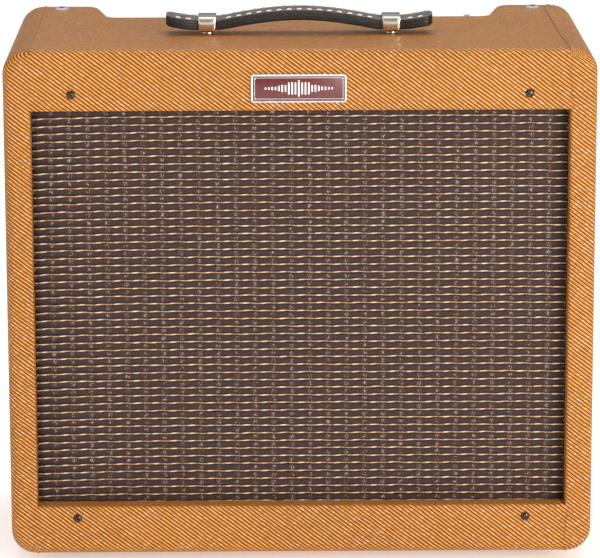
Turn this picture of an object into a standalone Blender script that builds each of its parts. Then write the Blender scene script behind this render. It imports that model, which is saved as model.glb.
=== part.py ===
"""A 1x12 valve guitar combo: a cloth-covered cabinet with its baffle, loudspeaker, chassis and handle.

Units are metres and +Z is up. The origin is on the floor, under the middle of the cabinet. The grille
faces -Y, and the control panel is let into the rear of the top.
"""

from math import asin, cos, pi, radians, sin, sqrt, tan, tau

import bmesh
import bpy
from mathutils import Vector

# ---------------------------------------------------------------- driving dimensions
GAP = 0.0003  # left between pieces that touch

CABINET_WIDTH = 0.457
CABINET_HEIGHT = 0.402
CABINET_DEPTH = 0.233
CORNER_RADIUS = 0.019  # seen from the front
FRONT_EDGE_RADIUS = 0.008
REAR_EDGE_RADIUS = 0.004
BOARD = 0.019
CLOTH = 0.0007
FOOT_HEIGHT = 0.010

UPPER_FACE = 0.0475  # height of the covered face above the grille
LOWER_FACE = 0.0395  # and below it
RAIL = 0.0127
GRILLE_RECESS = 0.0157
BAFFLE = 0.0127
GRILLE_CLOTH = 0.0008

CUT_HALF_WIDTH = 0.1552  # of the well over the control panel, at its front
CUT_FRONT_Y = 0.0525
CUT_INNER_RADIUS = 0.010
CUT_OUTER_RADIUS = 0.018
CUT_FLARE = 11.5  # degrees that each side of the well opens towards the rear

BACK_PANEL = 0.006
BACK_PANEL_INSET = 0.005
UPPER_BACK_DEPTH = 0.114
LOWER_BACK_DEPTH = 0.115

PLATE_WIDTH = 0.0735
PLATE_HEIGHT = 0.022
PLATE_THICK = 0.0016
PLATE_X = -0.0012
PLATE_DROP = 0.0298  # its middle, below the cabinet's top

BAFFLE_SCREW_X = 0.176
BAFFLE_SCREW_DROP = 0.0345  # from the top edge, and from the bottom edge
BAFFLE_SCREW_RISE = 0.0300
BAFFLE_SCREW_HEAD = 0.0035
BAFFLE_SCREW_SHANK = 0.0021
BAFFLE_SCREW_LENGTH = 0.034
SCREW_CLEARANCE = 0.0004

CHASSIS_SCREW_X = 0.1935
CHASSIS_SCREW_Y = 0.098
CHASSIS_SCREW_SHANK = 0.0022
CUP_RADIUS = 0.0062

HANDLE_Y = -0.0320
HANDLE_HALF_LENGTH = 0.1045
HANDLE_WIDTH = 0.024
HANDLE_END_WIDTH = 0.027
HANDLE_THICK = 0.0085
HANDLE_ARCH = 0.0076
HANDLE_END_RISE = 0.0036
HANDLE_CROWN = 0.0004
BRACKET_X = 0.0722
BRACKET_WIDTH = 0.0130
BRACKET_STRAP = 0.0009
BRACKET_PLAY = 0.0006
HANDLE_TRAVEL = 0.0025  # the strap's lengthwise play in its brackets, each way
BRACKET_SIDE_PLAY = 0.0007
BOSS_RADIUS = 0.0063
BOSS_HEIGHT = 0.0024

FOOT_RADIUS = 0.0150
FOOT_TIP_RADIUS = 0.0125
FOOT_X = 0.180
FOOT_FRONT_Y = -0.0555
FOOT_REAR_Y = 0.0700
FOOT_SCREW_RADIUS = 0.0045
FOOT_SCREW_DEPTH = 0.004

SHEET_STEEL = 0.0012
CHASSIS_HALF_LENGTH = 0.203
CHASSIS_FRONT_Y = 0.027
CHASSIS_REAR_Y = 0.101
CHASSIS_HEIGHT = 0.072
PANEL_THICK = 0.0012
PANEL_FRONT_Y = 0.045
PANEL_REAR_Y = 0.1035

CONTROL_Y = 0.080
# Name, place along the panel, and pointer setting in degrees clockwise from the middle.
KNOBS = (
    ("reverb", 0.084, -75.0),
    ("master", 0.051, -50.0),
    ("middle", 0.018, 15.0),
    ("bass", -0.015, -20.0),
    ("treble", -0.048, 10.0),
    ("volume", -0.096, -35.0),
)
KNOB_RADIUS = 0.0092
KNOB_HEIGHT = 0.0120
KNOB_SKIRT = 0.0060
KNOB_RECESS_RADIUS = 0.0068
KNOB_RECESS = 0.0036
KNOB_LIFT = 0.0006
KNOB_TIP = 0.0155
KNOB_TAIL = 0.0118
SHAFT_RADIUS = 0.0030
SHAFT_LENGTH = 0.0125
POT_RADIUS = 0.0080
CONTROL_DEPTH = 0.0092  # of the pots and the push switch, which all stand on the circuit board
BUSHING_RADIUS = 0.0046
BUSHING_RISE = 0.0022
BORE_CLEARANCE = 0.0003
HOLE_CLEARANCE = 0.0004

JACK_X = -0.132
JACK_BORE = 0.0033
JACK_RADIUS = 0.0056
JACK_NUT_RADIUS = 0.0078
JACK_NUT = 0.0030
JACK_DEPTH = 0.026
BUTTON_X = -0.072
BUTTON_RADIUS = 0.0042
BUTTON_HEIGHT = 0.0036
BUTTON_TRAVEL = 0.0020
PLUNGER_RADIUS = 0.0022
LAMP_X = 0.112
LAMP_BEZEL = 0.0085
LAMP_RADIUS = 0.0062
LAMP_DEPTH = 0.020
LAMP_RISE = 0.0085
POWER_X = 0.1385
POWER_BUSHING = 0.0058
POWER_BUSHING_RISE = 0.0055
POWER_BORE = 0.0043
POWER_CASE = (0.0130, 0.0220, 0.0180)
LEVER_PIVOT_RISE = 0.0025
LEVER_LENGTH = 0.0150
LEVER_TIP_RADIUS = 0.0027
LEVER_STEM_RADIUS = 0.0015
LEVER_BALL_RADIUS = 0.0024
LEVER_TILT = 12.0

BOARD_THICK = 0.0016
CIRCUIT_LEFT_X = -0.112
CIRCUIT_RIGHT_X = 0.100
CIRCUIT_FRONT_Y = 0.036
CIRCUIT_REAR_Y = 0.097
CAPACITOR_RADIUS = 0.0075
CAPACITOR_LENGTH = 0.020
CAPACITOR_X = (-0.090, -0.040, 0.010, 0.060)
CAPACITOR_Y = 0.050

TUBE_Y = 0.064
# Name, place along the chassis, bulb radius and height.
TUBES = (
    ("preamp_tube_1", -0.140, 0.0102, 0.049),
    ("preamp_tube_2", -0.104, 0.0102, 0.049),
    ("preamp_tube_3", -0.068, 0.0102, 0.049),
    ("power_tube_1", -0.014, 0.0110, 0.068),
    ("power_tube_2", 0.030, 0.0110, 0.068),
)

POWER_TRANSFORMER = (0.155, 0.064, 0.078, 0.064, 0.060)  # x, y, width, depth, height
OUTPUT_TRANSFORMER = (0.084, 0.064, 0.046, 0.050, 0.048)
BELL_INSET = 0.007
CORE_SHARE = 0.34

INLET_X = -0.178
INLET_Y = 0.080
INLET_PLATE = (0.030, 0.024, 0.003)
INLET_BODY = (0.0270, 0.0200, 0.022)
INLET_RECESS = (0.0230, 0.0160, 0.0165)
INLET_PIN = (0.0040, 0.0020, 0.0100)
INLET_PIN_SPREAD = 0.0070
INLET_PIN_ROW = 0.0022

SPEAKER_RADIUS = 0.1525
SPEAKER_HOLE = 0.139
BASKET_FLANGE_INNER = 0.1365
BASKET_SHEET = 0.0016
BASKET_GASKET = 0.003
BASKET_STRAIGHT = 0.014
BASKET_DEPTH = 0.086
BASKET_BACK_RADIUS = 0.072
BASKET_BACK_HOLE = 0.030
BASKET_WINDOWS = 10
BASKET_WINDOW_HALF = 9.5  # degrees
CONE_RADIUS = 0.1325
CONE_THICK = 0.0010
CONE_DEPTH = 0.055
CONE_NECK = 0.0225
DUST_CAP_RADIUS = 0.034
DUST_CAP_HEIGHT = 0.011
COIL_RADIUS = 0.0220
COIL_THICK = 0.0008
MAGNET_RADIUS = 0.078
MAGNET_PLATE_RADIUS = 0.070
MAGNET_PLATE = 0.007
MAGNET_THICK = 0.020
MAGNET_BACK = 0.008
POLE_RADIUS = 0.0205
GAP_OUTER_RADIUS = 0.0240
MAGNET_BORE = 0.040

TANK_X = 0.0
TANK_Y = 0.040
TANK = (0.235, 0.105, 0.033)
TANK_SHEET = 0.0014

LEAD_DIAMETER = 0.0055
LEAD_ROUTE = (
    (-0.0300, 0.0460, 0.3172),
    (-0.0300, 0.0460, 0.3110),
    (-0.0295, 0.0430, 0.3045),
    (-0.0290, 0.0340, 0.2985),
    (-0.0285, 0.0210, 0.2955),
    (-0.0277, 0.0070, 0.2932),
    (-0.0270, -0.0040, 0.2908),
    (-0.0261, -0.0115, 0.2874),
)

# ---------------------------------------------------------------- places worked out from them
BASE = FOOT_HEIGHT
TOP = BASE + CABINET_HEIGHT
HALF_WIDTH = CABINET_WIDTH / 2
FRONT_Y = -CABINET_DEPTH / 2
REAR_Y = CABINET_DEPTH / 2
SKIN = CLOTH + GAP
INNER_X = HALF_WIDTH - SKIN - BOARD  # inner faces of the side boards
OPENING_X = INNER_X - SKIN
OPENING_LOW = BASE + LOWER_FACE
OPENING_HIGH = TOP - UPPER_FACE
FLOOR_Z = BASE + SKIN + BOARD  # inner face of the bottom board
CEILING_Z = TOP - SKIN - BOARD  # inner face of the top board
RAIL_REAR_Y = FRONT_Y + SKIN + RAIL
GRILLE_Y = FRONT_Y + GRILLE_RECESS
BAFFLE_FRONT_Y = GRILLE_Y + GRILLE_CLOTH + GAP
BAFFLE_REAR_Y = BAFFLE_FRONT_Y + BAFFLE
SPEAKER_Z = (OPENING_LOW + OPENING_HIGH) / 2
BACK_PANEL_REAR_Y = REAR_Y - BACK_PANEL_INSET
BACK_PANEL_FRONT_Y = BACK_PANEL_REAR_Y - BACK_PANEL
PANEL_TOP = CEILING_Z - GAP
PANEL_UNDER = PANEL_TOP - PANEL_THICK
CHASSIS_TOP = PANEL_UNDER - GAP
FLANGE_UNDER = CHASSIS_TOP - SHEET_STEEL
CHASSIS_BOTTOM = CHASSIS_TOP - CHASSIS_HEIGHT
CIRCUIT_TOP = FLANGE_UNDER - GAP - CONTROL_DEPTH - GAP
BASKET_FRONT_Y = BAFFLE_REAR_Y + BASKET_GASKET
BASKET_REAR_Y = BASKET_FRONT_Y + BASKET_DEPTH
MAGNET_FRONT_Y = BASKET_REAR_Y + GAP
CONE_FRONT_Y = BASKET_FRONT_Y + 0.003
STRAP_Z = TOP + GAP + BOSS_HEIGHT + BRACKET_STRAP + GAP  # the strap's underside, in the brackets


# ---------------------------------------------------------------- tools
def clear_scene():
    for obj in list(bpy.data.objects):
        bpy.data.objects.remove(obj, do_unlink=True)


def finish(name, colour, roughness, metallic=0.0, alpha=1.0):
    """A plain Principled material."""
    made = bpy.data.materials.new(name)
    made.use_nodes = True
    shader = made.node_tree.nodes["Principled BSDF"]
    shader.inputs["Base Color"].default_value = (*colour, 1.0)
    shader.inputs["Roughness"].default_value = roughness
    shader.inputs["Metallic"].default_value = metallic
    shader.inputs["Alpha"].default_value = alpha
    return made


def add(name, mesh, material=None, location=(0, 0, 0), rotation=(0, 0, 0)):
    """Links a bmesh as a named object, smooth up to 35 degrees. Without a material it is a hidden helper."""
    bmesh.ops.recalc_face_normals(mesh, faces=mesh.faces)
    data = bpy.data.meshes.new(name)
    mesh.to_mesh(data)
    mesh.free()
    obj = bpy.data.objects.new(name, data)
    obj.location = location
    obj.rotation_euler = rotation
    bpy.context.scene.collection.objects.link(obj)
    if material is None:
        obj.hide_render = True
        obj.display_type = "WIRE"
    else:
        data.materials.append(material)
        data.shade_smooth()
        data.set_sharp_from_angle(angle=radians(35))
    return obj


def combine(target, operation, helper):
    step = target.modifiers.new(operation.lower(), "BOOLEAN")
    step.operation = operation
    step.object = helper


def cut(target, *helpers):
    for helper in helpers:
        combine(target, "DIFFERENCE", helper)


def box(low, high):
    mesh = bmesh.new()
    bmesh.ops.create_cube(mesh, size=1.0)
    low, high = Vector(low), Vector(high)
    for vertex in mesh.verts:
        vertex.co = Vector(
            low[i] + (vertex.co[i] + 0.5) * (high[i] - low[i]) for i in range(3)
        )
    return mesh


def bevelled_box(low, high, width, segments=2):
    mesh = box(low, high)
    bmesh.ops.bevel(
        mesh, geom=mesh.edges[:], offset=width, segments=segments, affect="EDGES", profile=0.5
    )
    return mesh


def lofted(rings, closed=False):
    """Skins rings of points that all have the same count. The ends are capped, or joined when closed."""
    mesh = bmesh.new()
    rows = [[mesh.verts.new(point) for point in ring] for ring in rings]
    pairs = list(zip(rows, rows[1:]))
    if closed:
        pairs.append((rows[-1], rows[0]))
    for first, second in pairs:
        count = len(first)
        for i in range(count):
            j = (i + 1) % count
            mesh.faces.new((first[i], first[j], second[j], second[i]))
    if not closed:
        mesh.faces.new(rows[0][::-1])
        mesh.faces.new(rows[-1])
    return mesh


def extruded(outline, axis, start, end):
    """A prism: a 2-D outline, in the order of the two other axes, pushed along axis from start to end."""
    others = [i for i in range(3) if i != axis]

    def point(pair, along):
        place = [0.0, 0.0, 0.0]
        place[others[0]], place[others[1]] = pair
        place[axis] = along
        return place

    return lofted([[point(pair, along) for pair in outline] for along in (start, end)])


def turned(profile, segments, axis=2):
    """A closed (radius, height) profile spun round an axis. Points on the axis become one vertex."""
    mesh = bmesh.new()
    others = [(axis + 1) % 3, (axis + 2) % 3]

    def ring(radius, height):
        points = []
        for k in range(segments if radius > 0 else 1):
            place = [0.0, 0.0, 0.0]
            place[others[0]] = radius * cos(tau * k / segments)
            place[others[1]] = radius * sin(tau * k / segments)
            place[axis] = height
            points.append(mesh.verts.new(place))
        return points

    rings = [ring(radius, height) for radius, height in profile]
    for first, second in zip(rings, rings[1:] + rings[:1]):
        if len(first) == 1 and len(second) == 1:
            continue
        for k in range(segments):
            n = (k + 1) % segments
            corners = [first[k % len(first)], first[n % len(first)]]
            corners += [second[n % len(second)], second[k % len(second)]]
            mesh.faces.new(list(dict.fromkeys(corners)))
    return mesh


def arc(centre, radius, first, last, steps):
    """Points on an arc, in degrees, both ends included."""
    angles = [radians(first + (last - first) * k / steps) for k in range(steps + 1)]
    return [(centre[0] + radius * cos(a), centre[1] + radius * sin(a)) for a in angles]


def rounded_rectangle(left, right, low, high, radius, steps=3):
    return [
        *arc((right - radius, high - radius), radius, 0, 90, steps),
        *arc((left + radius, high - radius), radius, 90, 180, steps),
        *arc((left + radius, low + radius), radius, 180, 270, steps),
        *arc((right - radius, low + radius), radius, 270, 360, steps),
    ]


def gathered(pieces):
    """One mesh that holds every piece, apart or not."""
    mesh = bmesh.new()
    for piece in pieces:
        data = bpy.data.meshes.new("piece")
        piece.to_mesh(data)
        piece.free()
        mesh.from_mesh(data)
        bpy.data.meshes.remove(data)
    return mesh


def cylinders(places, radius, start, end, axis, segments=12):
    """One helper mesh that holds a straight cylinder at each place, along axis."""
    angles = [tau * k / segments for k in range(segments)]
    outlines = [[(a + radius * cos(t), b + radius * sin(t)) for t in angles] for a, b in places]
    return gathered(extruded(outline, axis, start, end) for outline in outlines)


# ---------------------------------------------------------------- cabinet
def envelope(inset):
    """The cabinet's rounded outer block, taken in by inset all round."""
    steps = 3
    profile = []
    for side, face, radius in ((-1, FRONT_Y, FRONT_EDGE_RADIUS), (1, REAR_Y, REAR_EDGE_RADIUS)):
        edge = radius - inset
        angles = [pi / 2 * k / steps for k in range(steps + 1)]
        for angle in angles[::side]:
            y = face - side * (inset + edge * (1 - sin(angle)))
            profile.append((y, inset + edge * (1 - cos(angle))))
    rings = []
    for y, offset in profile:
        outline = rounded_rectangle(
            -HALF_WIDTH + offset,
            HALF_WIDTH - offset,
            BASE + offset,
            TOP - offset,
            CORNER_RADIUS - offset,
            steps=4,
        )
        rings.append([(x, y, z) for x, z in outline])
    return lofted(rings)


def well_outline(spread):
    """Plan of the well in the top's rear edge, widened by spread. A straight side joins each pair of arcs."""
    flare = radians(CUT_FLARE)
    inner_x, inner_y = CUT_HALF_WIDTH - CUT_INNER_RADIUS, CUT_FRONT_Y + CUT_INNER_RADIUS
    outer_y = REAR_Y - CUT_OUTER_RADIUS
    outer_x = inner_x + (CUT_INNER_RADIUS + CUT_OUTER_RADIUS) / cos(flare) + (outer_y - inner_y) * tan(flare)
    right = [
        *arc((inner_x, inner_y), CUT_INNER_RADIUS + spread, -90, -CUT_FLARE, 4),
        *arc((outer_x, outer_y), CUT_OUTER_RADIUS - spread, 180 - CUT_FLARE, 90, 3),
        (outer_x, REAR_Y + 0.02),
    ]
    return right + [(-x, y) for x, y in reversed(right)]


def screw_holes(name, places, radius, start, end, axis):
    return add(name, cylinders(places, radius, start, end, axis))


def baffle_screw_places():
    return [
        (side * BAFFLE_SCREW_X, z)
        for z in (BASE + BAFFLE_SCREW_RISE, TOP - BAFFLE_SCREW_DROP)
        for side in (-1, 1)
    ]


def build_cabinet(wood, ply, tweed, grille):
    beyond = 0.05
    baffle_holes = screw_holes(
        "baffle_screw_cutter",
        baffle_screw_places(),
        BAFFLE_SCREW_SHANK + SCREW_CLEARANCE,
        FRONT_Y - beyond,
        BAFFLE_REAR_Y + beyond,
        1,
    )
    chassis_holes = screw_holes(
        "chassis_screw_cutter",
        [(side * CHASSIS_SCREW_X, CHASSIS_SCREW_Y) for side in (-1, 1)],
        CHASSIS_SCREW_SHANK + SCREW_CLEARANCE,
        CHASSIS_BOTTOM + 0.02,
        TOP + beyond,
        2,
    )
    wood_well = add("well_cutter_wood", extruded(well_outline(SKIN), 2, CEILING_Z - beyond, TOP + beyond))
    cloth_well = add("well_cutter_cloth", extruded(well_outline(0), 2, CEILING_Z - beyond, TOP + beyond))

    outside, between = HALF_WIDTH + beyond, INNER_X - GAP
    low, high = BASE - beyond, TOP + beyond
    slabs = {  # the stretch of X and the stretch of Z that each board takes of the block
        "left_side_board": (-outside, -INNER_X, low, high),
        "right_side_board": (INNER_X, outside, low, high),
        "top_board": (-between, between, CEILING_Z, high),
        "bottom_board": (-between, between, low, FLOOR_Z),
    }
    for name, (left, right, under, over) in slabs.items():
        board = add(name, envelope(SKIN), wood)
        bounds = box((left, FRONT_Y - beyond, under), (right, REAR_Y + beyond, over))
        combine(board, "INTERSECT", add(name + "_bounds", bounds))
        if name == "top_board":
            cut(board, wood_well, chassis_holes)

    covering = add("tweed_covering", envelope(0), tweed)
    hollows = {
        "covering_core": envelope(CLOTH),
        "front_opening": box(
            (-OPENING_X, FRONT_Y - beyond, OPENING_LOW), (OPENING_X, RAIL_REAR_Y, OPENING_HIGH)
        ),
        "rear_opening": box(
            (-OPENING_X, REAR_Y - REAR_EDGE_RADIUS / 2, FLOOR_Z + SKIN),
            (OPENING_X, REAR_Y + beyond, CEILING_Z - SKIN),
        ),
    }
    for name, mesh in hollows.items():
        cut(covering, add(name, mesh))
    cut(covering, cloth_well, baffle_holes, chassis_holes)

    rails = {
        "upper_front_rail": (OPENING_HIGH + SKIN, CEILING_Z - GAP),
        "lower_front_rail": (FLOOR_Z + GAP, OPENING_LOW - SKIN),
    }
    for name, (low, high) in rails.items():
        rail = add(
            name,
            box((-INNER_X + GAP, FRONT_Y + SKIN, low), (INNER_X - GAP, RAIL_REAR_Y, high)),
            wood,
        )
        cut(rail, baffle_holes)

    inner = INNER_X - 2 * GAP
    baffle = add(
        "baffle_board",
        box((-inner, BAFFLE_FRONT_Y, FLOOR_Z + GAP), (inner, BAFFLE_REAR_Y, CEILING_Z - GAP)),
        ply,
    )
    through = (BAFFLE_FRONT_Y - beyond, BAFFLE_REAR_Y + beyond)
    hole = cylinders([(0, SPEAKER_Z)], SPEAKER_HOLE, *through, axis=1, segments=36)
    cut(baffle, add("speaker_hole_cutter", hole), baffle_holes)
    cloth = add(
        "grille_cloth",
        box((-inner, GRILLE_Y, FLOOR_Z + GAP), (inner, GRILLE_Y + GRILLE_CLOTH, CEILING_Z - GAP)),
        grille,
    )
    cut(cloth, baffle_holes)

    panels = {
        "upper_back_panel": (PANEL_TOP - UPPER_BACK_DEPTH, PANEL_TOP - GAP),
        "lower_back_panel": (FLOOR_Z + GAP, FLOOR_Z + GAP + LOWER_BACK_DEPTH),
    }
    for name, (low, high) in panels.items():
        add(
            name,
            bevelled_box((-inner, BACK_PANEL_FRONT_Y, low), (inner, BACK_PANEL_REAR_Y, high), 0.0012, 1),
            tweed,
        )


def build_nameplate(metal):
    half, rise = PLATE_WIDTH / 2, PLATE_HEIGHT / 2
    middle = TOP - PLATE_DROP
    outline = rounded_rectangle(PLATE_X - half, PLATE_X + half, middle - rise, middle + rise, 0.0022, 3)
    add("nameplate", extruded(outline, 1, FRONT_Y - GAP - PLATE_THICK, FRONT_Y - GAP), metal)


def build_feet(rubber):
    reach = FOOT_HEIGHT - GAP
    profile = [
        (0, FOOT_SCREW_DEPTH),
        (FOOT_SCREW_RADIUS, FOOT_SCREW_DEPTH),
        (FOOT_SCREW_RADIUS, 0),
        (FOOT_TIP_RADIUS - 0.001, 0),
        (FOOT_TIP_RADIUS, 0.001),
        (FOOT_RADIUS, reach),
        (0, reach),
    ]
    corners = {
        "foot_front_left": (-FOOT_X, FOOT_FRONT_Y, 0),
        "foot_front_right": (FOOT_X, FOOT_FRONT_Y, 0),
        "foot_rear_left": (-FOOT_X, FOOT_REAR_Y, 0),
        "foot_rear_right": (FOOT_X, FOOT_REAR_Y, 0),
    }
    for name, place in corners.items():
        add(name, turned(profile, 14), rubber, location=place)


def build_fasteners(dark, chrome):
    head = BAFFLE_SCREW_HEAD
    profile = [
        (0, -0.0020),
        (head * 0.45, -0.0019),
        (head * 0.85, -0.0013),
        (head, -GAP),
        (BAFFLE_SCREW_SHANK, -GAP),
        (BAFFLE_SCREW_SHANK, BAFFLE_SCREW_LENGTH - 0.004),
        (0, BAFFLE_SCREW_LENGTH),
    ]
    for number, (x, z) in enumerate(baffle_screw_places(), 1):
        add(f"baffle_screw_{number}", turned(profile, 10, axis=1), dark, location=(x, FRONT_Y, z))

    cup = [
        (0, 0.0022),
        (0.0030, 0.0019),
        (0.0040, 0.0013),
        (0.0050, 0.0018),
        (CUP_RADIUS, GAP),
        (CHASSIS_SCREW_SHANK, GAP),
        (CHASSIS_SCREW_SHANK, FLANGE_UNDER - 0.006 - TOP),
        (0, FLANGE_UNDER - 0.008 - TOP),
    ]
    for name, side in (("chassis_screw_left", -1), ("chassis_screw_right", 1)):
        add(name, turned(cup, 12), chrome, location=(side * CHASSIS_SCREW_X, CHASSIS_SCREW_Y, TOP))


# ---------------------------------------------------------------- handle
def strap_rise(x):
    """Height of the strap's underside over its level stretches, which slide in the brackets."""
    level = BRACKET_WIDTH / 2 + HANDLE_TRAVEL
    along = abs(x) / (BRACKET_X - level)
    if along < 1:
        return HANDLE_ARCH * (1 - along**2) ** 1.25
    past = (abs(x) - BRACKET_X - level) / (HANDLE_HALF_LENGTH - BRACKET_X - level)
    return HANDLE_END_RISE * max(0.0, past) ** 1.4


def strap_width(x):
    """The strap widens a little past the brackets, so it can't pull through them."""
    level = BRACKET_X + BRACKET_WIDTH / 2 + HANDLE_TRAVEL
    past = max(0.0, abs(x) - level) / (HANDLE_HALF_LENGTH - level)
    swell = sin(pi / 2 * min(1.0, past * 1.6))
    round_end = 1.0 if past < 0.75 else sqrt(max(0.0, 1 - ((past - 0.75) / 0.25) ** 2 * 0.55))
    return (HANDLE_WIDTH + (HANDLE_END_WIDTH - HANDLE_WIDTH) * swell) * round_end


def build_handle(leather, nickel):
    stations = 26
    rings = []
    for k in range(stations + 1):
        x = -HANDLE_HALF_LENGTH + 2 * HANDLE_HALF_LENGTH * k / stations
        half = strap_width(x) / 2
        low = strap_rise(x)
        section = rounded_rectangle(-half, half, low, low + HANDLE_THICK, 0.0018, 1)
        crowned = [
            (y, z + HANDLE_CROWN * (1 - (y / half) ** 2) * (z > low + HANDLE_THICK / 2)) for y, z in section
        ]
        rings.append([(x, y, z) for y, z in crowned])
    add("handle_strap", lofted(rings), leather, location=(0, HANDLE_Y, STRAP_Z))

    inner_half = HANDLE_WIDTH / 2 + BRACKET_SIDE_PLAY
    inner_high = HANDLE_THICK + HANDLE_CROWN + BRACKET_PLAY
    inner = rounded_rectangle(-inner_half, inner_half, -GAP, inner_high, 0.0015, 2)
    outer = rounded_rectangle(
        -inner_half - BRACKET_STRAP,
        inner_half + BRACKET_STRAP,
        -GAP - BRACKET_STRAP,
        inner_high + BRACKET_STRAP,
        0.0015 + BRACKET_STRAP,
        2,
    )
    half = BRACKET_WIDTH / 2
    for name, side in (("handle_bracket_left", -1), ("handle_bracket_right", 1)):
        place = (side * BRACKET_X, HANDLE_Y, STRAP_Z)
        corners = [(outer, -half), (outer, half), (inner, half), (inner, -half)]
        band = lofted([[(x, y, z) for y, z in outline] for outline, x in corners], closed=True)
        bracket = add(name, band, nickel, location=place)
        sunk = BRACKET_STRAP / 2
        boss = turned(
            [
                (0, -GAP - BRACKET_STRAP - BOSS_HEIGHT),
                (BOSS_RADIUS, -GAP - BRACKET_STRAP - BOSS_HEIGHT),
                (BOSS_RADIUS - 0.0006, -GAP - sunk),
                (0, -GAP - sunk),
            ],
            12,
        )
        combine(bracket, "UNION", add(name + "_boss", boss, location=place))


# ---------------------------------------------------------------- chassis and controls
def panel_holes(name, places, radius):
    return screw_holes(name, places, radius + HOLE_CLEARANCE, FLANGE_UNDER - 0.01, PANEL_TOP + 0.01, 2)


def build_chassis(steel, chrome):
    length = CHASSIS_HALF_LENGTH
    chassis = add(
        "chassis",
        box((-length, CHASSIS_FRONT_Y, CHASSIS_BOTTOM), (length, CHASSIS_REAR_Y, CHASSIS_TOP)),
        steel,
    )
    inside = box(
        (-length + SHEET_STEEL, CHASSIS_FRONT_Y + SHEET_STEEL, CHASSIS_BOTTOM + SHEET_STEEL),
        (length - SHEET_STEEL, CHASSIS_REAR_Y + 0.02, FLANGE_UNDER),
    )
    width, depth, _ = INLET_BODY
    inlet_hole = box(
        (INLET_X - width / 2 - GAP, INLET_Y - depth / 2 - GAP, CHASSIS_BOTTOM - 0.01),
        (INLET_X + width / 2 + GAP, INLET_Y + depth / 2 + GAP, CHASSIS_BOTTOM + 0.01),
    )
    cut(chassis, add("chassis_inside", inside), add("inlet_cutter", inlet_hole))
    panel = add(
        "control_panel",
        box((-length, PANEL_FRONT_Y, PANEL_UNDER), (length, PANEL_REAR_Y, PANEL_TOP)),
        chrome,
    )
    groups = (
        panel_holes("pot_holes", [(x, CONTROL_Y) for _, x, _ in KNOBS], BUSHING_RADIUS),
        panel_holes("jack_hole", [(JACK_X, CONTROL_Y)], JACK_RADIUS),
        panel_holes("button_hole", [(BUTTON_X, CONTROL_Y)], BUTTON_RADIUS),
        panel_holes("lamp_hole", [(LAMP_X, CONTROL_Y)], LAMP_RADIUS),
        panel_holes("power_hole", [(POWER_X, CONTROL_Y)], POWER_BUSHING),
        bpy.data.objects["chassis_screw_cutter"],
    )
    for target in (chassis, panel):
        cut(target, *groups)


def knob_pointer():
    """Plan of the tapered grip that crosses a pointer knob. It points to -Y."""
    return [
        *arc((0, -KNOB_TIP + 0.0012), 0.0012, 200, 340, 2),
        (0.0040, -KNOB_RADIUS * 0.55),
        (0.0052, 0.0010),
        *arc((0, KNOB_TAIL - 0.0042), 0.0042, 10, 170, 3),
        (-0.0052, 0.0010),
        (-0.0040, -KNOB_RADIUS * 0.55),
    ]


def build_knobs(black, metal):
    bottom = PANEL_TOP + KNOB_LIFT
    knob_profile = [
        (0, KNOB_RECESS - SHAFT_LENGTH - KNOB_LIFT),
        (SHAFT_RADIUS, KNOB_RECESS - SHAFT_LENGTH - KNOB_LIFT),
        (SHAFT_RADIUS, KNOB_RECESS),
        (KNOB_RECESS_RADIUS, KNOB_RECESS),
        (KNOB_RECESS_RADIUS, 0),
        (KNOB_RADIUS, 0),
        (KNOB_RADIUS, KNOB_SKIRT * 0.7),
        (KNOB_RADIUS - 0.0012, KNOB_SKIRT),
        (0, KNOB_SKIRT),
    ]
    bushing_top = PANEL_TOP + BUSHING_RISE
    case_top = FLANGE_UNDER - GAP
    case_bottom = case_top - CONTROL_DEPTH
    bore = SHAFT_RADIUS + BORE_CLEARANCE
    bore_bottom = bottom + knob_profile[0][1] - 0.0008
    pot_profile = [
        (0, bore_bottom - case_bottom),
        (bore, bore_bottom - case_bottom),
        (bore, bushing_top - case_bottom),
        (BUSHING_RADIUS, bushing_top - case_bottom),
        (BUSHING_RADIUS, CONTROL_DEPTH),
        (POT_RADIUS, CONTROL_DEPTH),
        (POT_RADIUS, 0),
        (0, 0),
    ]
    for name, x, setting in KNOBS:
        turn = (0, 0, -radians(setting))
        knob = add(f"{name}_knob", turned(knob_profile, 14), black, (x, CONTROL_Y, bottom), turn)
        grip = extruded(knob_pointer(), 2, KNOB_SKIRT * 0.6, KNOB_HEIGHT)
        combine(knob, "UNION", add(f"{name}_grip", grip, None, (x, CONTROL_Y, bottom), turn))
        add(f"{name}_pot", turned(pot_profile, 12), metal, (x, CONTROL_Y, case_bottom))


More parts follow.
